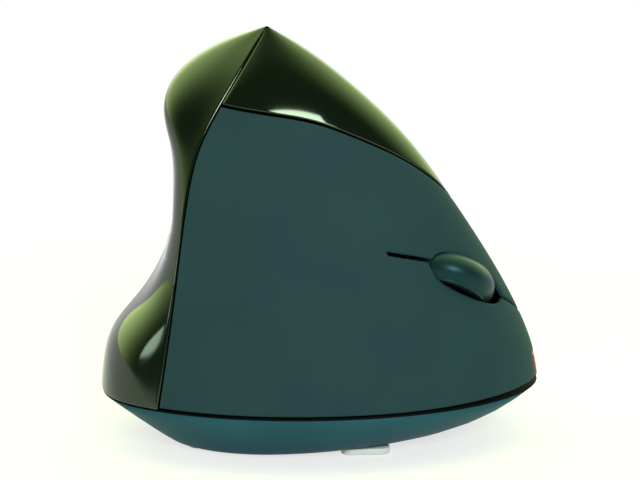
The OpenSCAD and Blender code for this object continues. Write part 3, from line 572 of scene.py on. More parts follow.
def add_node(tree: bpy.types.NodeTree, kind: str, inputs: dict | None = None, **settings) -> bpy.types.Node:
    """Adds a node, with its settings and what goes into it.

    Args:
        tree: the node tree.
        kind: the type of the node.
        inputs: values or sockets, by the name or the number of the input.
        settings: properties of the node.

    Returns:
        The node.
    """
    node = tree.nodes.new(kind)
    for name, value in settings.items():
        setattr(node, name, value)
    for name, value in (inputs or {}).items():
        if isinstance(value, bpy.types.NodeSocket):
            tree.links.new(value, node.inputs[name])
        else:
            node.inputs[name].default_value = value
    return node


def per_metre(millimetres: float) -> float:
    """The scale of a pattern whose features have a size in millimetres."""
    return 1 / (millimetres * MM)


@dataclass(frozen=True)
class Moulded:
    """A moulded or painted polymer: two near colours in soft clouds, with a fine grain.

    Attributes:
        name: what the material is.
        colour: its main colour.
        other: the colour that the clouds lean to.
        roughness: its middle roughness.
        swing: how far the roughness moves about that.
        grain: the size of the grain, in millimetres.
        relief: the height of the grain, in millimetres.
        cloud: the size of the clouds, in millimetres.
        soft: how softly the clouds go over into each other, to both sides of the middle.
        sockets: what is the same all over the surface.
    """

    name: str
    colour: str
    other: str
    roughness: float
    swing: float
    grain: float
    relief: float
    cloud: float = 18.0
    soft: float = 0.15
    sockets: tuple[tuple[str, float | tuple], ...] = ()

    def material(self) -> bpy.types.Material:
        """Makes the material.

        Returns:
            The material, whose patterns lie on Object coordinates.
        """
        made = bpy.data.materials.new(self.name)
        made.use_nodes = True
        tree = made.node_tree
        tree.nodes.clear()
        place = add_node(tree, "ShaderNodeTexCoord").outputs["Object"]
        clouds = add_node(tree, "ShaderNodeTexNoise",
                          {"Vector": place, "Scale": per_metre(self.cloud), "Detail": 3.0}).outputs["Fac"]
        grain = add_node(tree, "ShaderNodeTexNoise",
                         {"Vector": place, "Scale": per_metre(self.grain), "Detail": 2.0}).outputs["Fac"]
        rough = add_node(tree, "ShaderNodeMapRange", {"Value": grain, "To Min": self.roughness - self.swing,
                                                      "To Max": self.roughness + self.swing})
        bump = add_node(tree, "ShaderNodeBump",
                        {"Height": grain, "Strength": 1.0, "Distance": self.relief * MM})
        shader = add_node(tree, "ShaderNodeBsdfPrincipled", {"Base Color": self.tint(tree, clouds),
                                                             "Roughness": rough.outputs["Result"],
                                                             "Normal": bump.outputs["Normal"]})
        for socket, value in self.sockets:
            shader.inputs[socket].default_value = value
        add_node(tree, "ShaderNodeOutputMaterial", {"Surface": shader.outputs["BSDF"]})
        return made

    def tint(self, tree: bpy.types.NodeTree, share: bpy.types.NodeSocket) -> bpy.types.NodeSocket:
        """Blends the two colours.

        Args:
            tree: the node tree.
            share: how far to go to the other colour.

        Returns:
            The colour.
        """
        ramp = add_node(tree, "ShaderNodeValToRGB", {"Fac": share})
        low, high = ramp.color_ramp.elements
        low.position, low.color = 0.5 - self.soft, linear(self.colour)
        high.position, high.color = 0.5 + self.soft, linear(self.other)
        return ramp.outputs["Color"]


# Soft-touch paint on ABS: dull, a little velvety, with a fine powdery grain drawn coarser than it is
SOFT_TOUCH = Moulded("soft_touch_paint_on_abs", "1e3842", "213c45", 0.72, 0.06, 0.45, 0.012,
                     sockets=(("Specular IOR Level", 0.14), ("Sheen Weight", 0.03), ("Sheen Roughness", 0.45),
                              ("Sheen Tint", (0.45, 0.75, 0.72, 1.0))))
# High-gloss ABS, polished in the mould: nearly black green with clear reflections and a slight orange peel
GLOSS = Moulded("high_gloss_abs", "060d0a", "070f0b", 0.07, 0.01, 4.0, 0.001, cloud=30.0,
                sockets=(("IOR", 1.65), ("Specular Tint", (0.82, 1.0, 0.7, 1.0))))
# Satin ABS with a spark-eroded mould texture: even, slightly blue, with a low sheen
SATIN = Moulded("satin_textured_abs", "254f60", "285566", 0.52, 0.06, 0.6, 0.014,
                sockets=(("Specular IOR Level", 0.08),))
# Clear red polycarbonate, moulded: light gathers in it
RED_LENS = Moulded("red_polycarbonate", "a3202a", "b02a33", 0.14, 0.03, 1.4, 0.004,
                   sockets=(("IOR", 1.58), ("Transmission Weight", 0.35)))
# Clear acrylic, polished in the mould: like glass, with a trace of blue
CLEAR_LENS = Moulded("clear_acrylic", "d8e4e4", "e2ecec", 0.06, 0.02, 1.4, 0.002,
                     sockets=(("IOR", 1.49), ("Transmission Weight", 0.85)))
# Silicone rubber with a buffed face: nearly black, with one broad cool highlight
RUBBER = Moulded("buffed_silicone_rubber", "0f262c", "122a30", 0.34, 0.04, 0.5, 0.003,
                 sockets=(("Specular IOR Level", 0.28), ("Specular Tint", (0.4, 0.9, 1.0, 1.0))))
# Near-black ABS inside the base, whose colour is painted shade: it stands in for the shadow in the belt gap
# over it, which so reads as black
SHADE_BLACK = Moulded("painted_shade_black_abs", "060707", "080909", 0.7, 0.06, 0.7, 0.02,
                    sockets=(("Specular IOR Level", 0.1),))
# Glass-filled nylon, moulded: dark grey and dull, a little mottled by the fibres
FRAME_PLASTIC = Moulded("glass_filled_nylon", "26292b", "2d3133", 0.55, 0.08, 0.7, 0.02)
# Skived PTFE: a waxy white that takes some light in
PTFE = Moulded("skived_ptfe", "e9eae8", "f1f2f0", 0.38, 0.08, 0.8, 0.008,
               sockets=(("Subsurface Weight", 0.15), ("Subsurface Radius", (1.0, 0.9, 0.8)),
                        ("Subsurface Scale", 0.0008)))
# White acetal, moulded: an even off-white with a soft shine
KNOB_WHITE = Moulded("white_acetal", "dcdcd6", "e4e4de", 0.4, 0.05, 0.6, 0.008)
# Brown phenolic, pressed: opaque, with a dull shine
PLUNGER_BROWN = Moulded("brown_phenolic", "5c3a22", "66422a", 0.45, 0.06, 0.6, 0.01)
# Black PBT, moulded: near black with a fine texture
SWITCH_BLACK = Moulded("black_pbt", "17181a", "1e2022", 0.48, 0.07, 0.5, 0.012)
# Foil jacket of the cell: smooth and brassy, half metallic
CELL_JACKET = Moulded("printed_foil_jacket", "6e5a2a", "7a642f", 0.3, 0.05, 1.2, 0.006,
                      sockets=(("Metallic", 0.6),))
# Solder mask on glass epoxy: dark green with a shine as if wet
CIRCUIT = Moulded("solder_mask_on_glass_epoxy", "0f3a24", "14462c", 0.34, 0.1, 0.9, 0.02)
# Nickel-plated steel: pale grey metal whose shine is a little uneven
STEEL = Moulded("nickel_plated_steel", "b4b6b8", "c2c4c6", 0.28, 0.08, 0.7, 0.004,
                sockets=(("Metallic", 1.0),))

# Which finish each CAD node has where it shows as it is
NODE_FINISH: dict[Moulded, tuple[str, ...]] = {
    FRAME_PLASTIC: ("inner_frame", "wheel_yoke", "scroll_hub"),
    CELL_JACKET: ("battery_cell",),
    STEEL: ("spring_contact", "flat_contact", "scroll_axle", "case_screws", "board_screws"),
    CIRCUIT: ("main_board", "button_board", "click_board", "thumb_board", "scroll_encoder"),
    SWITCH_BLACK: ("sensor_chip", "upper_switch", "lower_switch", "click_switch", "thumb_switches",
                   "power_switch"),
    CLEAR_LENS: ("sensor_lens",),
    RED_LENS: ("nose_led",),
    KNOB_WHITE: ("upper_plunger", "lower_plunger"),
    PLUNGER_BROWN: ("click_plunger", "thumb_plunger_front", "thumb_plunger_rear"),
}


@dataclass
class Palette:
    """The materials of the scene, each made once."""

    made: dict[Moulded, bpy.types.Material] = field(default_factory=dict)

    def give(self, piece: bpy.types.Object, *finishes: Moulded) -> None:
        """Gives a piece its finishes, one in each material slot.

        Args:
            piece: a new piece or a CAD node.
            finishes: the finishes, in the order of the slots.
        """
        for finish in finishes:
            if finish not in self.made:
                self.made[finish] = finish.material()
        while len(piece.material_slots) < len(finishes):
            piece.data.materials.append(None)
        for slot, finish in zip(piece.material_slots, finishes):
            slot.material = self.made[finish]

    def dress(self, piece: bpy.types.Object, slot: str, nodes: tuple[str, ...],
              *finishes: Moulded) -> bpy.types.Object:
        """Gives a new piece its finishes, and hides the CAD nodes that it replaces.

        Args:
            piece: the piece.
            slot: the record's material slot; not used.
            nodes: the CAD nodes that it replaces.
            finishes: the finishes, in the order of the material slots.

        Returns:
            The piece.
        """
        self.give(piece, *finishes)
        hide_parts(*nodes)
        LOG.info("%s: %d faces", piece.name, len(piece.data.polygons))
        return piece


@dataclass(frozen=True)
class Oval:
    """The opening round the wheel: an oval in the plane of the wheel.

    Attributes:
        centre: the way along the face at its middle.
        pace: millimetres along the roll for one step of the way.
        lean: how far a millimetre of height goes along the roll.
        rise: how far a millimetre of height goes along the axle.
        long: its half length along the roll.
        wide: its half width along the axle.
    """

    centre: float
    pace: float
    lean: float
    rise: float
    long: float
    wide: float

    @property
    def ends(self) -> tuple[float, float]:
        """The ways at which it starts and ends."""
        reach = math.hypot(self.long, self.wide * self.lean / self.rise) / self.pace
        return self.centre - reach, self.centre + reach

    def opening(self, s: Array, side: Side) -> Array:
        """How far the slit opens to one side.

        Args:
            s: the way along the face.
            side: over or under the slit.

        Returns:
            The height from the middle of the slit to the edge, or 0 outside of the oval.
        """
        x = self.pace * (s - self.centre)
        a = (self.lean / self.long) ** 2 + (self.rise / self.wide) ** 2
        b = x * self.lean / self.long ** 2
        under = b ** 2 - a * ((x / self.long) ** 2 - 1)
        return np.where(under < 0, 0, (np.sqrt(np.maximum(under, 0)) - side.value * b) / a)


@dataclass
class Casing:
    """The gloss and matte shells over the base, patch by patch."""

    palette: Palette
    # Walls, which thin out beside the slit
    wall: float = 2.0
    edge_wall: float = 0.9
    edge_reach: float = 5.0
    # Gaps between the shells, with more room where a button has to move
    belt: float = 13.0
    belt_gap: float = 1.0
    seam_gap: float = 0.45
    crest_gap: float = 0.6
    peak_gap: float = 0.08
    press_gap: float = 1.2
    press_room: float = 0.8
    press_from: float = 0.7
    nose_gap: float = 1.0
    gap_from: float = 0.45
    # How far the finger face goes on behind the ridge, as a step of the way
    wrap: float = 0.08
    # Red lens at the nose
    lens_h: float = 7.0
    lens_run: float = 16.0
    lens_round: float = 2.0
    lens_fit: float = 0.15
    lens_over: float = 0.25
    lens_near: float = 0.925
    lens_far: float = 1.14
    # Button roots, slit, and the opening round the wheel
    root_x: float = 15.0
    bend_reach: float = 1.5
    slit_gap: float = 1.0
    slit_guess: float = 0.53
    open_mid: float = 0.745
    open_probe: float = 0.1
    open_past: float = 1.0
    open_ahead: float = 3.2
    wheel_proud: float = 3.8
    wheel_gap: float = 0.9
    # Thumb buttons
    thumb_mid_z: float = 51.0
    thumb_h: float = 7.0
    thumb_from: float = 1.58
    thumb_share: float = 0.2
    thumb_proud: float = 0.8
    thumb_gap: float = 0.5
    # Radii of the rolled edges, and the lines under the peak that have none
    roll: float = 0.4
    slit_roll: float = 0.5
    cap_roll: float = 1.0
    peak_lines: int = 7
    # How far under the peak the tops of the two gloss shells are
    crest_under: float = 0.5
    shell_under: float = 0.15
    # How far under the top of the crest the pace at its rear seam is last taken
    seam_under: float = 1.0
    # Distances of the lines, the lengths that they share out, and how they crowd towards the peak
    step: float = 1.1
    crest_step: float = 0.7
    cap_step: float = 0.6
    face_rise: float = 30.0
    crest_run: float = 105.0
    crest_rise: float = 24.0
    crest_crowd: float = 0.9
    thumb_run: float = 40.0
    heel_run: float = 150.0
    shell_crowd: float = 0.97
    # The place on the finger face whose pace stands for the whole of it
    face_mid: tuple[float, float] = (0.5, 45.0)
    # Lines at the slit: how finely its slope is summed up, the sum for each line, and those at root and ends
    slit_samples: int = 4000
    slit_slope: float = 700.0
    root_lines: tuple[float, float, int] = (-0.4, 1.2, 9)
    end_lines: tuple[float, ...] = (-1, -0.6, -0.3, -0.1, -0.01, 0.01, 0.1, 0.3)
    way_digits: int = 5
    # Points along the window for the thumb buttons
    window_lines: int = 34
    window_side: int = 24
    window_sill: int = 90

    @property
    def shell_low(self) -> float:
        """The lower edge of the thumb shell."""
        return self.belt + self.seam_gap / 2

    @property
    def face_low(self) -> float:
        """The lower edge of the finger face."""
        return self.belt + self.belt_gap - self.seam_gap / 2

    @property
    def lens_top(self) -> float:
        """The upper edge of the red lens."""
        return self.belt + self.lens_h

    def lens_share(self, z: Array | float) -> Array:
        """Goes from 0 beside the lens to 1 over it."""
        return ease((z - self.lens_top) / self.lens_round)

    def shell_from(self, z: Array) -> Array:
        """The way at which the thumb shell starts.

        Args:
            z: the heights.

        Returns:
            The way at each height.
        """
        s = mix(self.lens_far, 1 + self.wrap, self.lens_share(z))
        gap = np.where(z > SKIN.crest_z(1 + self.wrap), self.seam_gap, self.press_gap)
        return s + gap * SKIN.pace(s, z)

    @cached_property
    def oval(self) -> Oval:
        """The opening round the wheel, in the plane of the wheel.

        Returns:
            The oval.
        """
        mid_z = SKIN.slit_z(self.open_mid)
        far, near = self.open_mid + self.open_probe, self.open_mid - self.open_probe
        run = SKIN.at(far, SKIN.slit_z(far)) - SKIN.at(near, SKIN.slit_z(near))
        up = (SKIN.at(self.open_mid, mid_z + 1) - SKIN.at(self.open_mid, mid_z - 1)) / 2
        out = SKIN.outward(self.open_mid, mid_z)
        rolls = unit(run - (run @ out) * out)
        pace = float(run @ rolls / (2 * self.open_probe))
        radius = WHEEL_D / 2
        chord = math.sqrt(radius ** 2 - (radius - self.wheel_proud) ** 2)
        return Oval(self.open_mid + self.open_ahead / 2 / pace, pace, float(up @ rolls),
                    float(up @ np.cross(out, rolls)), chord + self.open_past + self.open_ahead / 2,
                    WHEEL_W / 2 + self.wheel_gap)

    @cached_property
    def slit_start(self) -> float:
        """The way at which the slit starts, at the button roots."""
        return SKIN.way_at(self.root_x, float(SKIN.slit_z(self.slit_guess)))

    def slit_side(self, s: Array, side: Side) -> Array:
        """The height from the middle of the slit to its edge, with a round start at the roots.

        Args:
            s: the way along the face.
            side: over or under the slit.

        Returns:
            The height.
        """
        half = self.slit_gap / 2
        into = np.clip((s - self.slit_start) / (half * SKIN.pace(self.slit_start, SKIN.slit_z(s))), 0, 1)
        narrow = half * np.sqrt(1 - (1 - into) ** 2)
        return np.where(s > self.slit_start, np.maximum(narrow, self.oval.opening(s, side)), 0)

    def face_ways(self, side: Side) -> Array:
        """Lines across the finger face, close at its ends, at the slit's start, at the wheel and at the lens.

        Args:
            side: over or under the slit.

        Returns:
            The ways, from the rear seam to behind the ridge.
        """
        end = 1 + self.wrap
        pace = float(SKIN.pace(*self.face_mid))
        even = end * lines(end / pace, self.roll, self.step)
        dense = np.linspace(0, end, self.slit_samples)
        slope = np.abs(np.gradient(self.slit_side(dense, side), dense))
        steep = dense[1:][np.diff(np.cumsum(slope) // self.slit_slope) > 0]
        start = self.slit_start + pace * np.linspace(*self.root_lines)
        close = pace * self.slit_roll * np.array(self.end_lines)
        ends = [way + close for way in self.oval.ends]
        lens = [self.lens_near - edge_share(self.roll, 1 / pace)] if side is Side.LOWER else []
        return np.unique(np.round(np.concatenate([even, steep, start, *ends, *lens]), self.way_digits))

    def face_edges(self, s: Array, side: Side) -> tuple[Array, Array]:
        """The lower and the upper edge of one half of the finger face.

        Args:
            s: the way along the face.
            side: over or under the slit.

        Returns:
            The heights of both edges.
        """
        slit = SKIN.slit_z(s) + side.value * self.slit_side(s, side)
        if side is Side.UPPER:
            room = self.press_room * ease((s - self.press_from) / (1 + self.wrap - self.press_from))
            return slit, SKIN.crest_z(s) - self.crest_gap / 2 - room
        return self.face_low + self.nose_gap * ease((s - self.gap_from) / (1 - self.gap_from)), slit

    def face_heights(self, s: Array, row: Array, side: Side) -> Array:
        """The heights of the rows of one half of the finger face.

        Args:
            s: the way along the face.
            row: the rows, from 0 to 1 up to the upper edge, and under the slit from -1 to 0 beside the lens.
            side: over or under the slit.

        Returns:
            The heights.
        """
        low, high = self.face_edges(s, side)
        foot = self.lens_top + self.lens_over if side is Side.LOWER else low
        return np.where(row < 0, mix(foot, low, -row), mix(foot, high, row))

    def finger_face(self, side: Side) -> Patch:
        """One half of the matte face: the fixed panel and one button in a single skin.

        The lower half leaves out the corner that the lens takes at the nose.

        Args:
            side: over or under the slit.

        Returns:
            The patch.
        """
        ways = self.face_ways(side) / (1 + self.wrap)
        below = lines(self.lens_h, self.roll, self.step) if side is Side.LOWER else np.zeros(1)
        above = lines(self.face_rise, self.slit_roll, self.step)
        u, row = np.meshgrid(ways, np.concatenate([below - 1, above[1:]]), indexing="ij")
        first = self.seam_gap / 2 * SKIN.pace(0.0, self.face_heights(np.zeros_like(row), row, side))
        s = mix(first, 1 + self.wrap, u)
        z = self.face_heights(s, row, side)
        at = SKIN.at(s, z)
        slit = at[s[:, 0] > self.slit_start, 0 if side is Side.UPPER else -1]
        corner = int(np.argmin(np.abs(s[:, 0] - self.lens_near)))
        lens_row = len(below) - 1
        window = np.zeros((s.shape[0] - 1, s.shape[1] - 1), bool)
        edges = [Edge(at[0], self.roll), Edge(at[-1, lens_row:], self.roll), Edge(slit, self.slit_roll)]
        if side is Side.UPPER:
            edges.append(Edge(at[:, -1], self.roll))
        else:
            window[corner:, :lens_row] = True
            edges += [Edge(at[:corner + 1, 0], self.roll), Edge(at[corner, :lens_row + 1], self.roll),
                      Edge(at[corner:, lens_row], self.roll)]
        wall = mix(self.edge_wall, self.wall, ease(nearest(at, slit) / self.edge_reach))
        return Patch(s, z, edges, wall, self.shell_low, window=window)

    def peak_rim(self, s: Array, z: Array) -> list[Edge]:
        """The rolled edges of a shell that closes at the peak: its foot, and both sides nearly up to it.

        Args:
            s: the ways of the grid.
            z: the heights of the grid.

        Returns:
            The edges.
        """
        at = SKIN.at(s, z)
        rolled = slice(None, -self.peak_lines)
        return [Edge(line, self.roll) for line in (at[0, rolled], at[-1, rolled], at[:, 0])]

    def crest_cover(self) -> Patch:
        """The gloss cover over the fingers, up to the peak.

        Returns:
            The patch.
        """
        top = SKIN.height - self.crest_under
        across = lines(self.crest_run, self.roll, self.step)
        up = lines(self.crest_rise, self.roll, self.crest_step) ** self.crest_crowd
        u, v = np.meshgrid(across, up, indexing="ij")
        first = self.peak_gap * SKIN.pace(0.0, mix(SKIN.crest_z(0.0), top - self.seam_under, v))
        s = mix(first, 1 + self.wrap, u)
        z = mix(SKIN.crest_z(s) + self.crest_gap / 2, top, v)
        return Patch(s, z, self.peak_rim(s, z), self.wall, self.shell_low)

    def thumb_shell(self) -> Patch:
        """The gloss shell over thumb side and heel, with one window for the two thumb buttons.

        Returns:
            The patch.
        """
        top = SKIN.height - self.shell_under
        low_win = self.thumb_mid_z - self.thumb_h / 2
        high_win = self.thumb_mid_z + self.thumb_h / 2
        to_win = self.thumb_from + 2 * self.thumb_share
        below = mix(self.shell_low, low_win, lines(low_win - self.shell_low, self.roll, self.step))
        above = mix(high_win, top, lines(top - high_win, self.roll, self.step) ** self.shell_crowd)
        rows = np.concatenate([below, above])
        before = lines(self.thumb_run, self.roll, self.step)
        behind = lines(self.heel_run, self.roll, self.step)
        first = self.shell_from(rows)
        last = FULL_WAY - self.seam_gap / 2 * SKIN.pace(FULL_WAY, rows)
        s = np.concatenate([mix(first, self.thumb_from, before[:, None]), mix(to_win, last, behind[:, None])])
        z = np.broadcast_to(rows, s.shape)
        return self.with_window(s, z, len(before) - 1, len(below) - 1, to_win)

    def with_window(self, s: Array, z: Array, bridge: int, sill: int, to_win: float) -> Patch:
        """Adds lines over and under the thumb buttons and leaves their window open.

        Args:
            s: the ways of the grid.
            z: the heights of the grid.
            bridge: the line before the window.
            sill: the row under the window.
            to_win: the way at which the window ends.

        Returns:
            The patch.
        """
        inner = np.linspace(self.thumb_from, to_win, self.window_lines)[1:-1]
        over = np.broadcast_to(inner[:, None], (len(inner), s.shape[1]))
        s = np.concatenate([s[:bridge + 1], over, s[bridge + 1:]])
        z = np.concatenate([z[:bridge + 1], z[:len(inner)], z[bridge + 1:]])
        window = np.zeros((s.shape[0] - 1, s.shape[1] - 1), bool)
        window[bridge:bridge + len(inner) + 1, sill] = True
        low, high = z[0, sill], z[0, sill + 1]
        side = np.linspace(low, high, self.window_side)
        way = np.linspace(self.thumb_from, to_win, self.window_sill)
        corners = ((self.thumb_from, side), (to_win, side), (way, low), (way, high))
        edges = self.peak_rim(s, z) + [Edge(SKIN.at(*line), self.roll) for line in corners]
        return Patch(s, z, edges, self.wall, self.shell_low, window=window)

    def thumb_cap(self, button: Thumb) -> Patch:
        """One thumb button, proud of the shell, with well rounded edges.

        Args:
            button: which of the two it is.

        Returns:
            The patch.
        """
        split = self.thumb_from + self.thumb_share
        pace = float(SKIN.pace(split, self.thumb_mid_z))
        if button is Thumb.FRONT:
            ends = self.thumb_from + self.thumb_gap * pace, split - self.thumb_gap / 2 * pace
        else:
            ends = split + self.thumb_gap / 2 * pace, split + self.thumb_share - self.thumb_gap * pace
        half = self.thumb_h / 2 - self.thumb_gap
        across = lines((ends[1] - ends[0]) / pace, self.cap_roll, self.cap_step)
        up = lines(2 * half, self.cap_roll, self.cap_step)
        u, v = np.meshgrid(across, up, indexing="ij")
        s = mix(ends[0], ends[1], u)
        z = mix(self.thumb_mid_z - half, self.thumb_mid_z + half, v)
        return Patch(s, z, rim(s, z, self.cap_roll), self.wall, lift=self.thumb_proud)

    def nose_lens(self) -> Patch:
        """The red lens at the nose.

        Returns:
            The patch.
        """
        up = lines(self.lens_h, self.roll, self.cap_step)
        across = lines(self.lens_run, self.roll, self.cap_step)
        u, v = np.meshgrid(across, up, indexing="ij")
        z = mix(self.shell_low + self.nose_gap, self.lens_top - self.lens_fit, v)
        s = mix(self.lens_near + self.press_gap * SKIN.pace(self.lens_near, z), self.lens_far, u)
        return Patch(s, z, rim(s, z, self.roll), self.wall, self.shell_low)

    def build(self) -> None:
        """Builds all the shells, and lets each gloss shell, the red lens and each thumb cap ride on its body.
        """
        faces = ((Side.UPPER, "upper_finger_face", ("upper_button",)),
                 (Side.LOWER, "lower_finger_face", ("lower_button", "finger_panel")))
        for side, name, nodes in faces:
            face = self.palette.dress(self.finger_face(side).build(name), "soft_touch", nodes, SOFT_TOUCH)
            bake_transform(face)
        fixed = (("gloss_crest_cover", self.crest_cover(), GLOSS, "gloss_shell", "crest_cover"),
                 ("gloss_thumb_shell", self.thumb_shell(), GLOSS, "gloss_shell", "thumb_shell"),
                 ("red_nose_lens", self.nose_lens(), RED_LENS, "red_lens", "nose_lens"))
        for name, patch, finish, slot, node in fixed:
            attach(self.palette.dress(patch.build(name), slot, (node,), finish), "housing")
        for button in Thumb:
            cap = self.thumb_cap(button).build(button.value + "_cap")
            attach(self.palette.dress(cap, "gloss_shell", (button.value,), GLOSS), button.value)


@dataclass
class BaseTray:
    """The base under the belt line, smoothed from its solid, with its inside in a near-black painted shade
    that stands in for the shadow in the belt gap.

    Attributes:
        palette: the materials.
        sharp: the angle in degrees past which an edge is sharp.
        rim: the height of the rim, over which the faces take the near-black painted shade.
        skin: the height up to which the underside is satin.
        level: how far a face may point up and still be satin.
    """

    palette: Palette
    sharp: float = 32.0
    rim: float = 12.6
    skin: float = 1.0
    level: float = 0.5

    def build(self) -> None:
        """Merges a copy of the solid's faces and shades it smooth between its true edges."""
        bm = merged_copy("base_shell")
        for face in bm.faces:
            middle = face.calc_center_median() / MM
            facing = face.normal.x * middle.x + face.normal.y * middle.y
            outside = facing > 0 or middle.z < self.skin
            satin = outside and middle.z < self.rim and face.normal.z < self.level
            # Faces that are not satin take the near-black painted shade that stands in for the shadow in the
            # belt gap
            face.material_index = 0 if satin else 1
        piece = finish_mesh(bm, "satin_base_tray", self.sharp)
        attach(self.palette.dress(piece, "satin_base", ("base_shell",), SATIN, SHADE_BLACK), "housing")


@dataclass
class ScrollWheel:
    """The crowned tyre of the scroll wheel, spun round the axis of its joint.

    Attributes:
        palette: the materials.
        joint: the joint that it turns on.
        thickness: the thickness of the tyre at its middle.
        crown: how far its sides lie under its middle.
        shoulder: the radius of its edges.
        crown_points: the points across the crown.
        shoulder_points: the points round an edge.
        turns: the steps round the axle.
    """

    palette: Palette
    joint: str = "wheel_scroll"
    thickness: float = 3.0
    crown: float = 2.3
    shoulder: float = 0.35
    crown_points: int = 25
    shoulder_points: int = 7
    turns: int = 120

    def profile(self) -> list[tuple[float, float, float]]:
        """The section of the tyre over the axle, which runs along Y.

        Returns:
            The points, from one edge of the bore to the other.
        """
        radius, half = WHEEL_D / 2, WHEEL_W / 2
        bore = radius - self.thickness
        swell = (half ** 2 + self.crown ** 2) / (2 * self.crown)
        flank = half - self.shoulder
        crowned = [(y, radius - swell + math.sqrt(swell ** 2 - y ** 2))
                   for y in np.linspace(-flank, flank, self.crown_points)]
        drop = crowned[0][1] - self.shoulder
        rounds = [(flank + self.shoulder * math.sin(a), drop + self.shoulder * math.cos(a))
                  for a in np.linspace(0, math.pi / 2, self.shoulder_points)[1:]]
        left = [(-y, r) for y, r in reversed(rounds)]
        return [(0.0, y, r) for y, r in [(-half, bore), *left, *crowned, *rounds, (half, bore)]]

    def build(self) -> None:
        """Spins the section and sets it on the axle."""
        joint = next(j for j in frame["joints"] if j["name"] == self.joint)
        turn = Vector(joint["axis"]).to_track_quat("Y", "Z").to_matrix().to_4x4()
        place = Matrix.Translation(joint["pos_m"]) @ turn @ Matrix.Scale(MM, 4)
        bm = spun(self.profile(), True, (0, 1, 0), self.turns)
        bmesh.ops.transform(bm, matrix=place, verts=bm.verts)
        tyre = finish_mesh(bm, "crowned_tyre")
        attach(self.palette.dress(tyre, "tyre_rubber", ("scroll_tyre",), RUBBER), "scroll_wheel")


@dataclass
class Underside:
    """The pieces under the base, as copies of their solids with rounded edges.

    Attributes:
        palette: the materials.
        foot_round: how far in from an edge of the feet the round starts.
        trim_round: the same on the battery door and on the knob.
        flat: the angle in degrees up to which faces are taken as one.
        sharp: the angle in degrees past which an edge is rounded.
        segments: the faces across a round.
    """

    palette: Palette
    foot_round: float = 0.22
    trim_round: float = 0.12
    flat: float = 1.0
    sharp: float = 35.0
    segments: int = 3

    def rounded(self, node: str, width: float) -> bpy.types.Object:
        """Copies a node with its sharp edges rounded.

        Args:
            node: the CAD node.
            width: how far in from each edge the round starts.

        Returns:
            The copy.
        """
        bm = merged_copy(node)
        bmesh.ops.dissolve_limit(bm, angle_limit=math.radians(self.flat), verts=bm.verts, edges=bm.edges)
        limit = math.radians(self.sharp)
        edges = [e for e in bm.edges if len(e.link_faces) == 2 and e.calc_face_angle(0.0) > limit]
        bmesh.ops.bevel(bm, geom=edges, offset=width * MM, offset_type="OFFSET", segments=self.segments,
                        profile=0.5, affect="EDGES", clamp_overlap=True, material=-1)
        return finish_mesh(bm, "rounded_" + node)

    def build(self) -> None:
        """Rounds the feet, the battery door and the knob of the power switch."""
        pieces = (("glide_feet", "housing", PTFE, "glide_ptfe", self.foot_round),
                  ("battery_door", "battery_door", SATIN, "satin_base", self.trim_round),
                  ("power_knob", "power_knob", KNOB_WHITE, "knob_white", self.trim_round))
        for node, body, finish, slot, width in pieces:
            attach(self.palette.dress(self.rounded(node, width), slot, (node,), finish), body)


@dataclass
class InnerWorks:
    """The nodes that keep their solid's own shape."""

    palette: Palette

    def build(self) -> None:
        """Gives each node its finish."""
        for finish, nodes in NODE_FINISH.items():
            for name in nodes:
                self.palette.give(frame["nodes"][name], finish)
                LOG.info("%s: %s", name, finish.name)


def aim(name: str, data: bpy.types.ID, target: Vector, azimuth: float, elevation: float,
        distance: float) -> bpy.types.Object:
    """Places a lamp or a camera round a point, facing it.

    Args:
        name: the name of the object.
        data: the lamp or the camera.
        target: the point, in metres.
        azimuth: degrees from the front towards the nose.
        elevation: degrees over the desk.
        distance: metres from the point.

    Returns:
        The object.
    """
    a, e = math.radians(azimuth), math.radians(elevation)
    way = Vector((math.sin(a) * math.cos(e), -math.cos(a) * math.cos(e), math.sin(e)))
    thing = bpy.data.objects.new(name, data)
    thing.location = target + distance * way
    thing.rotation_euler = (target - thing.location).to_track_quat("-Z", "Y").to_euler()
    bpy.context.scene.collection.objects.link(thing)
    return thing


@dataclass(frozen=True)
class Softbox:
    """An area lamp that faces the object from a direction.

    Attributes:
        name: the name of the lamp.
        azimuth: degrees from the front towards the nose.
        elevation: degrees over the desk.
        distance: metres from the middle of the object.
        size: width and height in metres.
        brightness: how bright its face is, where 1 is white.
        colour: its colour.
    """

    name: str
    azimuth: float
    elevation: float
    distance: float
    size: tuple[float, float]
    brightness: float
    colour: tuple[float, float, float]

    def build(self, target: Vector) -> None:
        """Places the lamp.

        Args:
            target: the point that it faces, in metres.
        """
        data = bpy.data.lights.new(self.name, "AREA")
        data.shape = "RECTANGLE"
        data.size, data.size_y = self.size
        data.color = self.colour
        data.energy = self.brightness * math.pi * self.size[0] * self.size[1]
        aim(self.name, data, target, self.azimuth, self.elevation, self.distance)


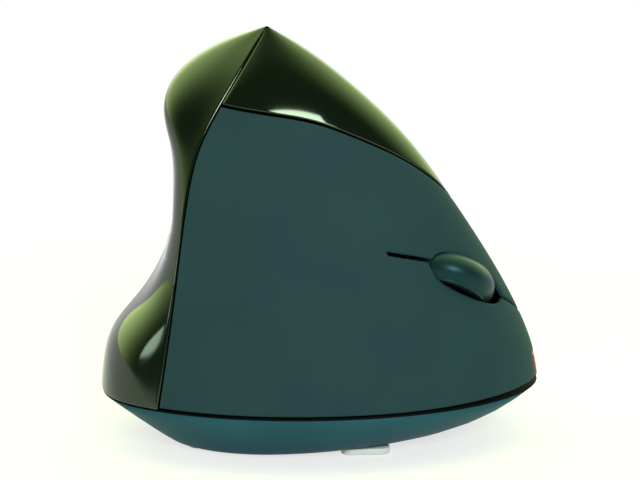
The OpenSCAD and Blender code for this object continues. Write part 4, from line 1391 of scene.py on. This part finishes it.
@dataclass
class Studio:
    """Camera, lamps and a white paper sweep round the object, in metres."""

    # Camera, at the view of the photograph
    target: tuple[float, float, float] = (0.0, 0.0, 0.049)
    azimuth: float = -3.5
    elevation: float = 15.0
    distance: float = 0.7
    lens: float = 158.96
    sensor: float = 36.0
    clip: float = 0.01
    # Paper, which shows white, and takes the shadow of the object close round it
    floor_radius: float = 5.0
    sweep_radius: float = 0.3
    sweep_height: float = 0.42
    bend_points: int = 13
    sweep_steps: int = 96
    shadow_near: float = 0.08
    shadow_far: float = 0.24
    shadow_white: float = 0.7
    paper_colour: str = "dcdcdc"
    # Light from round about: how bright the room and the tent are, and where one goes over into the other
    room: float = 0.09
    tent: float = 2.7
    tent_from: float = -0.2
    tent_to: float = 0.69
    tent_lean: tuple[float, float, float] = (0.0, 1.0, 0.42)
    tent_colour: str = "e9ffb4"
    lamps: tuple[Softbox, ...] = (
        Softbox("key_softbox", 9.5, 30, 1.3, (0.53, 0.39), 16.0, (0.92, 1.0, 1.0)),
        Softbox("heel_softbox", -73, 8.5, 1.2, (0.17, 0.08), 5.0, (0.85, 1.0, 1.0)),
    )

    def camera(self) -> None:
        """Places the camera at the view of the photograph."""
        data = bpy.data.cameras.new("photo_camera")
        data.lens, data.sensor_width, data.clip_start = self.lens, self.sensor, self.clip
        place = self.azimuth, self.elevation, self.distance
        bpy.context.scene.camera = aim("photo_camera", data, Vector(self.target), *place)

    def paper(self) -> bpy.types.Material:
        """White paper: it shows white, and keeps a soft shadow close to the object.

        Returns:
            The material.
        """
        made = bpy.data.materials.new("white_paper")
        made.use_nodes = True
        tree = made.node_tree
        tree.nodes.clear()
        place = add_node(tree, "ShaderNodeTexCoord").outputs["Object"]
        far = add_node(tree, "ShaderNodeVectorMath", {0: place}, operation="LENGTH").outputs["Value"]
        white = add_node(tree, "ShaderNodeMapRange",
                         {"Value": far, "From Min": self.shadow_near, "From Max": self.shadow_far,
                          "To Min": self.shadow_white, "To Max": 1.0},
                         interpolation_type="SMOOTHSTEP").outputs["Result"]
        rest = add_node(tree, "ShaderNodeMath", {0: 1.0, 1: white}, operation="SUBTRACT").outputs["Value"]
        glow = add_node(tree, "ShaderNodeEmission", {"Strength": white})
        lit = add_node(tree, "ShaderNodeBsdfDiffuse", {"Color": rest})
        shown = add_node(tree, "ShaderNodeAddShader", {0: glow.outputs["Emission"], 1: lit.outputs["BSDF"]})
        plain = add_node(tree, "ShaderNodeBsdfDiffuse", {"Color": linear(self.paper_colour)})
        path = add_node(tree, "ShaderNodeLightPath").outputs
        seen = path["Is Camera Ray"]
        for ray in ("Is Glossy Ray", "Is Transmission Ray"):
            either = add_node(tree, "ShaderNodeMath", {0: seen, 1: path[ray]}, operation="MAXIMUM")
            seen = either.outputs["Value"]
        both = add_node(tree, "ShaderNodeMixShader",
                        {0: seen, 1: plain.outputs["BSDF"], 2: shown.outputs["Shader"]})
        add_node(tree, "ShaderNodeOutputMaterial", {"Surface": both.outputs["Shader"]})
        return made

    def sweep(self) -> None:
        """The floor and the low round wall that it curves up into."""
        bend = [(self.floor_radius + self.sweep_radius * math.sin(a), self.sweep_radius * (1 - math.cos(a)))
                for a in np.linspace(0, math.pi / 2, self.bend_points)]
        section = [(0.0, 0.0), *bend, (bend[-1][0], self.sweep_height)]
        bm = spun([(r, 0.0, z) for r, z in section], False, (0, 0, 1), self.sweep_steps)
        sweep = finish_mesh(bm, "paper_sweep")
        sweep.data.materials.append(self.paper())

    def world(self) -> None:
        """A tent over and behind the object, which goes over into a dim room in front of it."""
        world = bpy.data.worlds.new("light_tent")
        world.use_nodes = True
        tree = world.node_tree
        tree.nodes.clear()
        way = add_node(tree, "ShaderNodeTexCoord").outputs["Generated"]
        lean = add_node(tree, "ShaderNodeVectorMath", {0: way, 1: self.tent_lean}, operation="DOT_PRODUCT")
        level = add_node(tree, "ShaderNodeMapRange",
                         {"Value": lean.outputs["Value"], "From Min": self.tent_from,
                          "From Max": self.tent_to, "To Min": self.room, "To Max": self.tent},
                         interpolation_type="SMOOTHSTEP")
        light = add_node(tree, "ShaderNodeBackground",
                         {"Color": linear(self.tent_colour), "Strength": level.outputs["Result"]})
        add_node(tree, "ShaderNodeOutputWorld", {"Surface": light.outputs["Background"]})
        bpy.context.scene.world = world

    def build(self) -> None:
        """Builds the studio."""
        bpy.context.scene.view_settings.view_transform = "Standard"
        self.camera()
        self.world()
        self.sweep()
        for lamp in self.lamps:
            lamp.build(Vector(self.target))


def main() -> None:
    """Builds the studio and every piece in order."""
    logging.basicConfig(level=logging.INFO, format="%(name)s %(message)s")
    palette = Palette()
    Studio().build()
    for assembly in (Casing, BaseTray, ScrollWheel, Underside, InnerWorks):
        assembly(palette).build()


if __name__ == "__main__":
    main()
